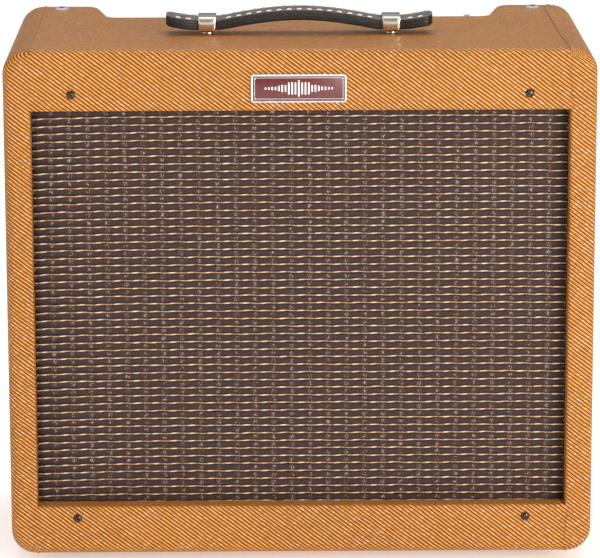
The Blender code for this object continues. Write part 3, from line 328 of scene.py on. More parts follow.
def lacqueredTweedCloth():
    made, tree, shader = newMaterial("lacquered cotton tweed", {
        "Roughness": 0.42, "Specular IOR Level": 0.32, "IOR": 1.5,
        "Coat Weight": 0.04, "Coat Roughness": 0.22, "Coat IOR": 1.5})
    sheetPlace = addNode(tree, "ShaderNodeTexCoord").outputs["UV"]
    drift = addNode(tree, "ShaderNodeTexNoise", inputs={"Vector": sheetPlace, "Scale": 70.0, "Detail": 2.0})
    drift = addNode(tree, "ShaderNodeVectorMath", {"operation": "SUBTRACT"},
                    {0: drift.outputs["Color"], 1: (0.5, 0.5, 0.5)}).outputs[0]
    drift = addNode(tree, "ShaderNodeVectorMath", {"operation": "SCALE"}, {0: drift, "Scale": 0.0013}).outputs[0]
    place = addNode(tree, "ShaderNodeVectorMath", {"operation": "ADD"}, {0: sheetPlace, 1: drift}).outputs[0]
    turned = addNode(tree, "ShaderNodeVectorRotate", {"rotation_type": "Z_AXIS"},
                     {"Vector": place, "Angle": math.radians(tweed["cordSlope"])}).outputs[0]
    parts = addNode(tree, "ShaderNodeSeparateXYZ", inputs={0: turned})
    across = addNode(tree, "ShaderNodeMath", {"operation": "DIVIDE"},
                     {0: parts.outputs["Y"], 1: tweed["cordPitch"] * mm}).outputs[0]
    cordNumber = addNode(tree, "ShaderNodeMath", {"operation": "FLOOR"}, {0: across}).outputs[0]
    within = addNode(tree, "ShaderNodeMath", {"operation": "FRACT"}, {0: across}).outputs[0]
    # Height across one cord: a round back, steeper on its lower side.
    cord = addNode(tree, "ShaderNodeMath", {"operation": "SINE"},
                   {0: addNode(tree, "ShaderNodeMath", {"operation": "MULTIPLY"},
                               {0: within, 1: math.pi}).outputs[0]}
                   ).outputs[0]
    cord = addNode(tree, "ShaderNodeMath", {"operation": "POWER"}, {0: cord, 1: 1.25}).outputs[0]
    start = addNode(tree, "ShaderNodeTexWhiteNoise", {"noise_dimensions": "1D"}, {"W": cordNumber}).outputs["Value"]
    along = addNode(tree, "ShaderNodeMath", {"operation": "DIVIDE"},
                    {0: parts.outputs["X"], 1: tweed["beadPitch"] * mm}).outputs[0]
    along = addNode(tree, "ShaderNodeMath", {"operation": "ADD"}, {0: along, 1: start}).outputs[0]
    lean = addNode(tree, "ShaderNodeMath", {"operation": "MULTIPLY"}, {0: within, 1: -0.9}).outputs[0]
    along = addNode(tree, "ShaderNodeMath", {"operation": "ADD"}, {0: along, 1: lean}).outputs[0]
    beadNumber = addNode(tree, "ShaderNodeMath", {"operation": "FLOOR"}, {0: along}).outputs[0]
    bead = addNode(tree, "ShaderNodeMath", {"operation": "FRACT"}, {0: along}).outputs[0]
    bead = addNode(tree, "ShaderNodeMath", {"operation": "MULTIPLY"}, {0: bead, 1: math.pi}).outputs[0]
    bead = addNode(tree, "ShaderNodeMath", {"operation": "SINE"}, {0: bead}).outputs[0]
    bead = addNode(tree, "ShaderNodeMapRange", inputs={"Value": bead, "To Min": 0.12, "To Max": 1.0}).outputs[0]
    height = addNode(tree, "ShaderNodeMath", {"operation": "MULTIPLY"}, {0: cord, 1: bead}).outputs[0]
    cell = addNode(tree, "ShaderNodeCombineXYZ", inputs={0: cordNumber, 1: beadNumber}).outputs[0]
    chance = addNode(tree, "ShaderNodeTexWhiteNoise", {"noise_dimensions": "2D"}, {"Vector": cell})
    # Painted shade and highlight: the colour runs from dark in the grooves to pale on the crests, by height alone.
    tone = addNode(tree, "ShaderNodeValToRGB", {"stops": [
        (0.16, tweed["valley"]), (0.50, tweed["flank"]), (0.80, tweed["crest"]), (0.98, tweed["paintedCrestHighlight"])]},
        {"Fac": height}).outputs[0]
    # Each bead takes the lacquer a little differently, and so does each stretch of the cloth.
    patch = addNode(tree, "ShaderNodeTexNoise", inputs={"Vector": sheetPlace, "Scale": 9.0,
                                                        "Detail": 3.0}).outputs["Fac"]
    patch = addNode(tree, "ShaderNodeMapRange",
                    inputs={"Value": patch, "From Min": 0.3, "From Max": 0.7, "To Min": 0.93,
                            "To Max": 1.05}).outputs[0]
    shade = addNode(tree, "ShaderNodeMapRange",
                    inputs={"Value": chance.outputs["Value"], "To Min": 0.80, "To Max": 1.10}).outputs[0]
    shade = addNode(tree, "ShaderNodeMath", {"operation": "MULTIPLY"}, {0: shade, 1: patch}).outputs[0]
    tone = addNode(tree, "ShaderNodeVectorMath", {"operation": "SCALE"}, {0: tone, "Scale": shade}).outputs[0]
    # Here and there a bead's top is painted nearly white: a painted glint.
    paintedGlintMask = addNode(tree, "ShaderNodeMapRange",
                   inputs={"Value": chance.outputs["Value"], "From Min": 0.86, "From Max": 0.95}).outputs[0]
    peak = addNode(tree, "ShaderNodeMapRange", inputs={"Value": height, "From Min": 0.62,
                                                       "From Max": 0.92}).outputs[0]
    paintedGlintMask = addNode(tree, "ShaderNodeMath", {"operation": "MULTIPLY"}, {0: paintedGlintMask, 1: peak}).outputs[0]
    tone = addNode(tree, "ShaderNodeMix", {"data_type": "RGBA"}, {0: paintedGlintMask, 6: tone, 7: tweed["glint"]}).outputs[2]
    relief = addNode(tree, "ShaderNodeBump",
                     inputs={"Height": height, "Distance": tweed["relief"] * mm, "Strength": 0.8}).outputs[0]
    tree.links.new(tone, shader.inputs["Base Color"])
    tree.links.new(relief, shader.inputs["Normal"])
    return made


tweedCloth = lacqueredTweedCloth()

# Four cuts of cloth are glued over the cabinet. The two side cuts lap over the ends of the top and bottom cuts.
coverLow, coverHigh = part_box("tweed_covering")
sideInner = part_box("right_side_board")[0].x
covering = {"thick": 0.7 * mm, "cornerRadius": 19 * mm, "frontRadius": 8 * mm, "rearRadius": 4 * mm,
            "lipRadius": 2 * mm, "seam": 208 * mm, "lap": 0.65 * mm,
            "openX": sideInner - 1 * mm,
            "openLow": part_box("lower_front_rail")[1].z + 1 * mm,
            "openHigh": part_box("upper_front_rail")[0].z - 1 * mm,
            "lipRear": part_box("grille_cloth")[0].y - 0.5 * mm,
            "rearLow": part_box("bottom_board")[1].z + 1 * mm, "rearHigh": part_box("top_board")[0].z - 1 * mm}


def seamShift(y):  # the right-hand seam drifts inwards towards the rear
    if y < -0.056:
        return -2.7 * mm * max(0.0, (y - coverLow.y) / (-0.056 - coverLow.y))
    atRear = min(1.0, max(0.0, (coverHigh.y - 4.5 * mm - y) / (4 * mm)))
    return (-2.7 * mm - 1.0 * mm * min(1.0, (y + 0.056) / 0.112)) * atRear


def coverProfile():
    # Rows from the rear opening round to the front one: y, inset, share of the way across the front or rear face
    # towards its opening, distance into the opening, and the length of cloth measured back from the front face's start.
    c = covering
    front, rear, r, q = coverLow.y, coverHigh.y, c["frontRadius"], c["rearRadius"]
    rows = []
    back = math.pi / 2 * r + (rear - q - front - r)
    rearArc = math.pi / 2 * q
    for share, depth in ((1.0, 4.0 * mm), (1.0, 2.0 * mm), (0.94, 0.3 * mm), (0.85, 0.0), (0.5, 0.0), (0.15, 0.0)):
        rows.append(("rear", rear - depth, q, share, back + rearArc + share * 17 * mm + depth))
    for k in range(7):
        a = math.pi / 2 * k / 6
        rows.append(("outer", rear - q * (1 - math.cos(a)), q * (1 - math.sin(a)), 0.0, back + rearArc - q * a))
    steps = 20
    for k in range(1, steps):
        y = rear - q + (front + r - rear + q) * k / steps
        rows.append(("outer", y, 0.0, 0.0, math.pi / 2 * r + (y - front - r)))
    for k in range(9):
        a = math.pi / 2 * k / 8
        rows.append(("outer", front + r * (1 - math.sin(a)), r * (1 - math.cos(a)), k / 8, math.pi / 2 * r - r * a))
    for share in (0.08, 0.3, 0.6, 0.85, 1.0):
        rows.append(("face", front, r, share, 0.0))
    return rows


def coverCut(name, columns, flip):
    # Columns run round the outline. Each is: centre of its curve, outward direction, length along the outline,
    # the opening's point in front, its outward direction there, the same behind, lift, and whether it drifts.
    c = covering
    front, radius, lip = coverLow.y, c["cornerRadius"], c["lipRadius"]
    mesh = bmesh.new()
    sheetUv = mesh.loops.layers.uv.new("UVMap")
    grid, places = [], {}

    def put(point, uv):
        vertex = mesh.verts.new(point)
        places[vertex] = uv
        return vertex

    for column in columns:
        (cx, cz), (nx, nz), s, (ox, oz), (ex, ez), (rx, rz), lift, drifts = column
        line = []
        for part, y, inset, share, length in coverProfile():
            dx = seamShift(y) if drifts else 0.0
            reach = radius - inset + lift
            x, z = cx + nx * reach + dx, cz + nz * reach
            if part == "rear":
                x, z = x + (rx - x) * share, z + (rz - z) * share
                line.append(put((x, y, z), flip(s, length)))
            elif part == "outer":
                back = flip(s, length)
                flat = Vector((x, z))
                blend = share * share * (3 - 2 * share)
                line.append(put((x, y, z), Vector(back).lerp(flat, blend)))
            else:
                tx, tz = ox + ex * lip, oz + ez * lip
                x, z = x + (tx - x) * share, z + (tz - z) * share
                line.append(put((x, y - (lift if share < 1 else 0), z), (x, z)))
        for k in range(1, 5):
            a = math.pi / 2 * k / 4
            d = lip * (1 - math.sin(a))
            uvx, uvz = ox + ex * (lip - lip * a), oz + ez * (lip - lip * a)
            line.append(put((ox + ex * d, front + lip * (1 - math.cos(a)), oz + ez * d), (uvx, uvz)))
        for k in (1, 2):
            y = front + lip + (c["lipRear"] - front - lip) * k / 2
            far = lip - lip * math.pi / 2 - (y - front - lip)
            line.append(put((ox, y, oz), (ox + ex * far, oz + ez * far)))
        grid.append(line)
    for first, second in zip(grid, grid[1:]):
        for i in range(len(first) - 1):
            face = mesh.faces.new((first[i], first[i + 1], second[i + 1], second[i]))
            for loop in face.loops:
                loop[sheetUv].uv = places[loop.vert]
    outward = sum((f.normal.dot(f.calc_center_median() - Vector((0, 0, 0.21))) * f.calc_area()
                   for f in mesh.faces if f.normal_update() is None), 0.0)
    if outward < 0:
        bmesh.ops.reverse_faces(mesh, faces=mesh.faces)
    piece = newPiece(name, mesh, tweedCloth, keepNormals=True, smooth=50)
    return piece


def flatColumns(points, nz, openZ, rearZ):
    radius = covering["cornerRadius"]
    middle = coverHigh.z - radius if nz > 0 else coverLow.z + radius
    made = []
    for x in points:
        share = x / covering["seam"]
        atEnd = abs(share) > 0.999
        made.append([(x, middle), (0, nz), x, (share * covering["openX"], openZ),
                     (math.copysign(1, x) if atEnd else 0, nz), (share * covering["openX"], rearZ), 0.0, False])
    return made


def sideColumns(side):
    c = covering
    radius = c["cornerRadius"]
    inner = coverHigh.x - radius
    low, high = coverLow.z + radius, coverHigh.z - radius
    made = []

    def column(cx, cz, angle, s, share, lift=0.0, drifts=False, mitre=0):
        direction = (side * math.cos(angle), math.sin(angle))
        z = c["openLow"] + (c["openHigh"] - c["openLow"]) * share
        rearZ = c["rearLow"] + (c["rearHigh"] - c["rearLow"]) * share
        made.append([(side * cx, cz), direction, s, (side * c["openX"], z), (side, mitre),
                     (side * c["openX"], rearZ), lift, drifts])

    quarter = math.pi / 2 * radius
    for x, lift in ((c["seam"] - 1.0 * mm, c["lap"]), (c["seam"] - 0.2 * mm, c["lap"])):
        column(x, low, -math.pi / 2, low - quarter - (inner - x), 0.0, lift, False, -1 if lift and not made else -1)
    for k in range(10):
        a = math.pi / 2 * k / 9
        column(inner, low, a - math.pi / 2, low - quarter + radius * a, 0.002 + 0.058 * k / 9)
    steps = 16
    for k in range(1, steps):
        column(inner, low + (high - low) * k / steps, 0.0, low + (high - low) * k / steps, 0.06 + 0.88 * k / steps)
    for k in range(10):
        a = math.pi / 2 * k / 9
        column(inner, high, a, high + radius * a, 0.94 + 0.058 * k / 9)
    for x, lift in ((c["seam"] - 0.2 * mm, c["lap"]), (c["seam"] - 1.0 * mm, c["lap"])):
        column(x, high, math.pi / 2, high + quarter + (inner - x), 1.0, lift, side > 0, 1)
    return made


wellPlan = {"halfWidth": 155.2, "front": 52.5, "inner": 10.0, "outer": 18.0, "flare": 11.5}  # mm, degrees


def wellOutline(spread, steps=8):
    w = {k: v * mm for k, v in wellPlan.items()}
    flare = math.radians(wellPlan["flare"])
    innerX, innerY = w["halfWidth"] - w["inner"], w["front"] + w["inner"]
    outerY = coverHigh.y - w["outer"]
    outerX = innerX + (w["inner"] + w["outer"]) / math.cos(flare) + (outerY - innerY) * math.tan(flare)
    right = [*arcPoints((innerX, innerY), w["inner"] + spread, -90, -wellPlan["flare"], steps),
             *arcPoints((outerX, outerY), w["outer"] - spread, 180 - wellPlan["flare"], 90, steps)]
    return right


def topEdgeHeight(y):  # how high the top is, which falls away over its rear edge
    past = y - (coverHigh.y - covering["rearRadius"])
    r = covering["rearRadius"]
    return coverHigh.z - (r - math.sqrt(max(0.0, r * r - past * past)) if past > 0 else 0.0)


def wellLining():
    # The cloth turned down over the well's edge, as one band from end to end.
    edge, under = 1.6 * mm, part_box("control_panel")[1].z + 0.6 * mm
    half, front = (wellPlan["halfWidth"] - wellPlan["inner"]) * mm, wellPlan["front"] * mm
    right = []
    for (ax, ay), (bx, by) in zip(wellOutline(0.0), wellOutline(0.0018)):
        right.append(((ax, min(ay, coverHigh.y - 0.2 * mm)), Vector((bx - ax, by - ay)).normalized()))
    whole = right[::-1] + [((half * (1 - k / 9), front), Vector((0, -1))) for k in range(1, 9)]
    whole += [((0.0, front), Vector((0, -1)))] + [((-p[0], p[1]), Vector((-d.x, d.y))) for p, d in whole[::-1]]
    mesh = bmesh.new()
    sheetUv = mesh.loops.layers.uv.new("UVMap")
    grid, uvs = [], {}
    for (x, y), out in whole:
        line = []
        for k in range(8):
            if k == 0:
                d, drop, far = edge + 1.0 * mm, -0.02 * mm, edge + 1.0 * mm
            elif k <= 5:
                a = math.pi / 2 * (k - 1) / 4
                d, drop, far = edge * (1 - math.sin(a)), edge * (1 - math.cos(a)) - 0.05 * mm, edge - edge * a
            else:
                d, far = 0.0, None
            px, py = x + out.x * d, min(y + out.y * d, coverHigh.y - 0.05 * mm)
            top = topEdgeHeight(py)
            if k > 5:
                z = top - edge + (under - top + edge) * (k - 5) / 2
                far = edge - edge * math.pi / 2 - (top - edge - z)
            else:
                z = top - drop
            vertex = mesh.verts.new((px, py, z))
            uvs[vertex] = (x + out.x * far, -(y + out.y * far) + 0.3)
            line.append(vertex)
        grid.append(line)
    for first, second in zip(grid, grid[1:]):
        for i in range(len(first) - 1):
            face = mesh.faces.new((first[i], first[i + 1], second[i + 1], second[i]))
            for loop in face.loops:
                loop[sheetUv].uv = uvs[loop.vert]
    for face in mesh.faces:
        face.normal_update()
    middle = Vector((0, 0.09, 0.40))
    if sum((middle - f.calc_center_median()).dot(f.normal) for f in mesh.faces) < 0:
        bmesh.ops.reverse_faces(mesh, faces=mesh.faces)
    return mesh


def makeCovering():
    c = covering
    seam = c["seam"]
    xs = [-seam + 2 * seam * k / 40 for k in range(41)]
    front = coverLow.y + c["frontRadius"]
    faceTop, faceBottom = coverHigh.z - c["frontRadius"], coverLow.z + c["frontRadius"]
    sideFace = coverHigh.x - c["frontRadius"]
    cuts = {
        "tweedTopCut": coverCut("tweedTopCut", flatColumns(xs, 1, c["openHigh"], c["rearHigh"]),
                                lambda s, length: (s, faceTop + length)),
        "tweedBottomCut": coverCut("tweedBottomCut", flatColumns(xs, -1, c["openLow"], c["rearLow"]),
                                   lambda s, length: (s, faceBottom - length)),
        "tweedLeftCut": coverCut("tweedLeftCut", sideColumns(-1), lambda s, length: (-sideFace - length, s)),
        "tweedRightCut": coverCut("tweedRightCut", sideColumns(1), lambda s, length: (sideFace + length, s)),
    }
    for piece in cuts.values():
        thickness = piece.modifiers.new("thickness", "SOLIDIFY")
        thickness.thickness, thickness.offset = c["thick"], -1.0
        applied(piece)
    # The well is cut out of the top, and its edge is bound with the cloth that was turned down.
    outline = wellOutline(0.0018)
    right = [*outline, (outline[-1][0], coverHigh.y + 0.02)]
    plan = right + [(-x, y) for x, y in reversed(right)]
    cutter = loft([[(x, y, z) for x, y in plan] for z in (0.3885, 0.45)])
    cutter = newPiece("wellCutter", cutter, tweedCloth)
    top = cuts["tweedTopCut"]
    hole = top.modifiers.new("well", "BOOLEAN")
    hole.operation, hole.object, hole.solver = "DIFFERENCE", cutter, "EXACT"
    applied(top)
    bpy.data.objects.remove(cutter)
    lining = newPiece("lining", wellLining(), tweedCloth, keepNormals=True)
    thickness = lining.modifiers.new("thickness", "SOLIDIFY")
    thickness.thickness, thickness.offset = c["thick"], -1.0
    applied(lining)
    both = bmesh.new()
    both.from_mesh(top.data)
    both.from_mesh(lining.data)
    both.to_mesh(top.data)
    both.free()
    bpy.data.objects.remove(lining)
    for piece in cuts.values():
        piece.data.set_sharp_from_angle(angle=math.radians(50))
    profile = coverProfile()
    length = profile[0][4] + 36 * mm
    for name, piece in cuts.items():
        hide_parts("tweed_covering")


makeCovering()
print("stage: tweed covering")


def carved(piece, mesh):  # cuts a helper's shape out of a piece
    helper = newPiece("helper", mesh, piece.data.materials[0])
    cut = piece.modifiers.new("cut", "BOOLEAN")
    cut.operation, cut.object, cut.solver = "DIFFERENCE", helper, "EXACT"
    applied(piece)
    bpy.data.objects.remove(helper)
    piece.data.set_sharp_from_angle(angle=math.radians(35))
    return piece


def planned(mesh, first=0, second=2):  # flat UVs in metres of cloth
    layer = mesh.loops.layers.uv.new("UVMap")
    for face in mesh.faces:
        for loop in face.loops:
            loop[layer].uv = (loop.vert.co[first], loop.vert.co[second])
    return mesh


# Grille cloth: maroon-brown ground with a warp rib, and gold weft threads laid over it that bow a little.
grille = {"stripePitch": 6.17, "firstStripe": 6.7, "threadHalf": (0.30, 0.52), "wave": 0.30, "leftBow": 1.9,
          "rightBow": 0.5, "glintPitch": 14.3, "ribPitch": 1.5,
          "ground": ("#220f0c", "#482822"), "paintedNylonGlint": "#a9a1ad",
          "gold": ("#7d5830", "#c49763"), "goldLit": "#fff2d8"}


def grilleCloths():
    ground, tree, shader = newMaterial("woven cotton and nylon grille cloth", {
        "Roughness": 0.62, "Specular IOR Level": 0.35, "Sheen Weight": 0.12, "Sheen Roughness": 0.4})
    place = addNode(tree, "ShaderNodeTexCoord").outputs["UV"]
    parts = addNode(tree, "ShaderNodeSeparateXYZ", inputs={0: place})
    rib = addNode(tree, "ShaderNodeMath", {"operation": "MULTIPLY"},
                  {0: parts.outputs["X"], 1: math.tau / (grille["ribPitch"] * mm)}).outputs[0]
    rib = addNode(tree, "ShaderNodeMath", {"operation": "SINE"}, {0: rib}).outputs[0]
    weave = addNode(tree, "ShaderNodeTexNoise", inputs={
        "Vector": addNode(tree, "ShaderNodeMapping", inputs={"Vector": place,
                                                             "Scale": (1.0, 0.35, 1.0)}).outputs[0],
        "Scale": 1 / (0.7 * mm), "Detail": 2.0}).outputs["Fac"]
    both = addNode(tree, "ShaderNodeMath", {"operation": "MULTIPLY_ADD"}, {0: rib, 1: 0.13, 2: weave}).outputs[0]
    tone = addNode(tree, "ShaderNodeValToRGB",
                   {"stops": [(0.30, grille["ground"][0]), (0.72, grille["ground"][1])]}, {"Fac": both}).outputs[0]
    # Stripe phase: 0 at a gold thread, 0.5 half way to the next one below.
    stripe = addNode(tree, "ShaderNodeMath", {"operation": "SUBTRACT"},
                     {0: covering["openHigh"] - grille["firstStripe"] * mm, 1: parts.outputs["Y"]}).outputs[0]
    stripe = addNode(tree, "ShaderNodeMath", {"operation": "DIVIDE"},
                     {0: stripe, 1: grille["stripePitch"] * mm}).outputs[0]
    stripe = addNode(tree, "ShaderNodeMath", {"operation": "FRACT"},
                     {0: addNode(tree, "ShaderNodeMath", {"operation": "ADD"},
                                 {0: stripe, 1: 8.0}).outputs[0]}).outputs[0]
    # Painted shadow: the ground is darkened in a band just below each gold thread, and lighter again midway to the
    # next.
    under = addNode(tree, "ShaderNodeValToRGB", {"stops": [
        (0.05, "#555555"), (0.16, "#3c3c3c"), (0.30, "#d8d8d8"), (0.55, "#ffffff"), (0.93, "#a8a8a8")]},
        {"Fac": stripe}).outputs[0]
    tone = addNode(tree, "ShaderNodeMix", {"data_type": "RGBA", "blend_type": "MULTIPLY"},
                   {0: 1.0, 6: tone, 7: under}).outputs[2]
    # Painted glints: pale specks painted in columns between the threads, and a few scattered elsewhere, for light
    # caught by shiny nylon ends.
    column = addNode(tree, "ShaderNodeMath", {"operation": "DIVIDE"},
                     {0: parts.outputs["X"], 1: grille["glintPitch"] * mm}).outputs[0]
    column = addNode(tree, "ShaderNodeMath", {"operation": "FRACT"},
                     {0: addNode(tree, "ShaderNodeMath", {"operation": "ADD"},
                                 {0: column, 1: 50.0}).outputs[0]}).outputs[0]
    near = addNode(tree, "ShaderNodeMath", {"operation": "SUBTRACT"}, {0: column, 1: 0.5}).outputs[0]
    near = addNode(tree, "ShaderNodeMath", {"operation": "ABSOLUTE"}, {0: near}).outputs[0]
    near = addNode(tree, "ShaderNodeMapRange",
                   inputs={"Value": near, "From Min": 0.16, "From Max": 0.03, "To Min": 0.02,
                           "To Max": 1.0}).outputs[0]
    level = addNode(tree, "ShaderNodeMath", {"operation": "SUBTRACT"}, {0: stripe, 1: 0.55}).outputs[0]
    level = addNode(tree, "ShaderNodeMath", {"operation": "ABSOLUTE"}, {0: level}).outputs[0]
    level = addNode(tree, "ShaderNodeMapRange",
                    inputs={"Value": level, "From Min": 0.34, "From Max": 0.12, "To Min": 0.05,
                            "To Max": 1.0}).outputs[0]
    cell = addNode(tree, "ShaderNodeVectorMath", {"operation": "SNAP"},
                   {0: place, 1: (0.8 * mm, 0.6 * mm, 1.0)}).outputs[0]
    chance = addNode(tree, "ShaderNodeTexWhiteNoise", {"noise_dimensions": "2D"}, {"Vector": cell}).outputs["Value"]
    chance = addNode(tree, "ShaderNodeMapRange",
                     inputs={"Value": chance, "From Min": 0.58, "From Max": 0.98}).outputs[0]
    paintedNylonGlint = addNode(tree, "ShaderNodeMath", {"operation": "MULTIPLY"}, {0: near, 1: level}).outputs[0]
    paintedNylonGlint = addNode(tree, "ShaderNodeMath", {"operation": "MULTIPLY"}, {0: paintedNylonGlint, 1: chance}).outputs[0]
    tone = addNode(tree, "ShaderNodeMix", {"data_type": "RGBA"}, {0: paintedNylonGlint, 6: tone, 7: grille["paintedNylonGlint"]}).outputs[2]
    relief = addNode(tree, "ShaderNodeBump",
                     inputs={"Height": both, "Distance": 0.25 * mm, "Strength": 0.6}).outputs[0]
    tree.links.new(tone, shader.inputs["Base Color"])
    tree.links.new(relief, shader.inputs["Normal"])

    # Metallised yarn: dull gold, with nearly white painted highlights where its twist would face the light.
    gold, tree, shader = newMaterial("gold metallised yarn", {"Roughness": 0.38, "Metallic": 0.25,
                                                             "Specular IOR Level": 0.6})
    place = addNode(tree, "ShaderNodeTexCoord").outputs["Object"]
    parts = addNode(tree, "ShaderNodeSeparateXYZ", inputs={0: place})
    twist = addNode(tree, "ShaderNodeTexNoise", inputs={"Vector": place, "Scale": 1 / (1.6 * mm), "Detail": 2.0})
    tone = addNode(tree, "ShaderNodeValToRGB",
                   {"stops": [(0.35, grille["gold"][0]), (0.6, grille["gold"][1])]},
                   {"Fac": twist.outputs["Fac"]}).outputs[0]
    wave = addNode(tree, "ShaderNodeMath", {"operation": "MULTIPLY"},
                   {0: parts.outputs["X"], 1: math.tau / (grille["glintPitch"] * mm)}).outputs[0]
    wave = addNode(tree, "ShaderNodeMath", {"operation": "COSINE"}, {0: wave}).outputs[0]
    patch = addNode(tree, "ShaderNodeTexNoise", inputs={"Vector": place, "Scale": 1 / (5 * mm),
                                                        "Detail": 1.0}).outputs["Fac"]
    wave = addNode(tree, "ShaderNodeMath", {"operation": "MULTIPLY_ADD"}, {0: patch, 1: 1.4, 2: wave}).outputs[0]
    lit = addNode(tree, "ShaderNodeMapRange",
                  inputs={"Value": wave, "From Min": 0.9, "From Max": 1.9, "To Max": 0.85}).outputs[0]
    tone = addNode(tree, "ShaderNodeMix", {"data_type": "RGBA"}, {0: lit, 6: tone, 7: grille["goldLit"]}).outputs[2]
    tree.links.new(tone, shader.inputs["Base Color"])
    return ground, gold


def makeGrille():
    ground, gold = grilleCloths()
    low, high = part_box("grille_cloth")
    mesh = bmesh.new()
    columns, rows = 90, 80
    points = [[mesh.verts.new((low.x + (high.x - low.x) * i / columns,
                               low.y + 0.25 * mm + 0.12 * mm * math.sin(i * 1.3) * math.sin(j * 0.9),
                               low.z + (high.z - low.z) * j / rows)) for j in range(rows + 1)] for i in range(columns + 1)]
    for i in range(columns):
        for j in range(rows):
            mesh.faces.new((points[i][j], points[i + 1][j], points[i + 1][j + 1], points[i][j + 1]))
    planned(mesh)
    cloth = newPiece("grilleClothGround", mesh, ground, instead=["grille_cloth"],
                     keepNormals=True)
    thickness = cloth.modifiers.new("thickness", "SOLIDIFY")
    thickness.thickness, thickness.offset = 0.45 * mm, -1.0
    applied(cloth)
    random.seed(11)
    threads = []
    half, deep = grille["threadHalf"][1] * mm, grille["threadHalf"][0] * mm
    z, start = covering["openHigh"] - grille["firstStripe"] * mm, -covering["openX"]
    while z > covering["openLow"] - 3 * mm:
        phase = random.random() * math.tau
        rings, count = [], 190
        for k in range(count + 1):
            x = low.x + 1 * mm + (high.x - low.x - 2 * mm) * k / count
            bow = grille["leftBow"] * mm * math.exp(-(x - start) / 0.045) \
                + grille["rightBow"] * mm * math.exp((x + start) / 0.03)
            sway = grille["wave"] * mm * (0.6 * math.sin(math.tau * x / (14.3 * mm) + 0.5 * math.sin(phase))
                                          + 1.4 * (noise.noise(Vector((x * 60, z * 900, 0.3)))))
            swell = 1 + 0.18 * noise.noise(Vector((x * 500, z * 700, 2.0)))
            rings.append([(x, low.y - 0.05 * mm + deep * math.cos(a), z - bow + sway + half * swell * math.sin(a))
                          for a in (math.tau * i / 6 for i in range(6))])
        threads.append(loft(rings))
        z -= grille["stripePitch"] * mm
    stripes = newPiece("grilleGoldThreads", merged(threads), gold, smooth=80)


makeGrille()
print("stage: grille cloth")

# Metals. Polished plate mirrors the room; zinc is duller and cloudy; black oxide is oily and dark.
polishedNickel = clouded("polished nickel plate", {"Metallic": 1.0, "Roughness": 0.14}, ("#d8d0c6", "#e6dfd6"), 6,
                         polish=(0.10, 0.2))
polishedChrome = clouded("polished chrome plate", {"Metallic": 1.0, "Roughness": 0.07}, ("#d9dcdf", "#e6e8ea"), 8,
                         polish=(0.05, 0.12))
brushedChrome = clouded("brushed chrome panel", {"Metallic": 1.0, "Roughness": 0.2}, ("#c9ccd0", "#dcdfe2"), 1.2,
                        stretch=(0.02, 1, 1), polish=(0.14, 0.26), bump=0.01)
zincPlate = clouded("zinc-plated folded steel", {"Metallic": 1.0, "Roughness": 0.36}, ("#a9adae", "#c6c8c5"), 9,
                    polish=(0.28, 0.46), bump=0.01)
blackOxide = clouded("black oxide steel", {"Metallic": 0.9, "Roughness": 0.24}, ("#2c221f", "#66554e"), 1.0,
                     polish=(0.14, 0.34), bump=0.04)


def phillipsScrew(name, centre, axis, outward, radius, rise, material, shank=None, instead=()):
    # A domed head with a cross recess, turned by a different amount each time.
    profile = [(0, rise), (radius * 0.30, rise * 0.97), (radius * 0.62, rise * 0.80), (radius * 0.86, rise * 0.50),
               (radius * 0.97, rise * 0.20), (radius, 0.02 * rise)]
    if shank:
        profile += [(shank[0], -0.02 * mm), (shank[0], -shank[1]), (0, -shank[1] - shank[0])]
    else:
        profile += [(radius * 0.9, -0.3 * mm), (0, -0.3 * mm)]
    profile = [(r, outward * h) for r, h in profile]
    piece = newPiece(name, lathe(profile, centre, axis, 28), material, instead=instead)
    random.seed(name)
    turn = random.random() * 90
    arm, wide = radius * 0.58, radius * 0.15
    for extra in (0, 90):
        size = [arm, arm, arm]
        flat = [i for i in range(3) if i != axis]
        size[flat[0]], size[flat[1]], size[axis] = arm, wide, rise * 0.85
        cross = block([-v for v in size], size, edge=0.0)
        cross.transform(Matrix.Rotation(math.radians(turn + extra), 4, "XYZ"[axis]))
        spot = Vector(centre)
        spot[axis] += outward * rise
        carved(piece, moved(cross, spot))
    return piece


# The handle: a stack of leather stitched in two rows, kept loosely under two plated straps.
handle = {"halfLength": 104.5, "width": 24.0, "endWidth": 27.0, "thick": 8.5, "arch": 7.6, "endRise": 3.6,
          "crown": 0.4, "bracketX": 72.2, "bracketWidth": 13.0, "travel": 2.5, "corner": 1.6,
          "stitchLength": 4.5, "stitchPitch": 7.9, "stitchThick": 1.25, "stitchInset": 1.9,
          "top": ("#2a2623", "#78706a"), "side": ("#0c0b0a", "#1d1a18"), "thread": ("#cfc9c2", "#f6f3ee")}


def strapRise(x):
    h = handle
    level = h["bracketWidth"] / 2 + h["travel"]
    along = abs(x) / (h["bracketX"] - level)
    if along < 1:
        return h["arch"] * (1 - along ** 2) ** 1.25
    return h["endRise"] * max(0.0,
                              (abs(x) - h["bracketX"] - level) / (h["halfLength"] - h["bracketX"] - level)) ** 1.4


def strapWidth(x):
    h = handle
    level = h["bracketX"] + h["bracketWidth"] / 2 + h["travel"]
    past = max(0.0, abs(x) - level) / (h["halfLength"] - level)
    swell = math.sin(math.pi / 2 * min(1.0, past * 1.6))
    end = 1.0 if past < 0.75 else math.sqrt(max(0.0, 1 - ((past - 0.75) / 0.25) ** 2 * 0.55))
    return (h["width"] + (h["endWidth"] - h["width"]) * swell) * end


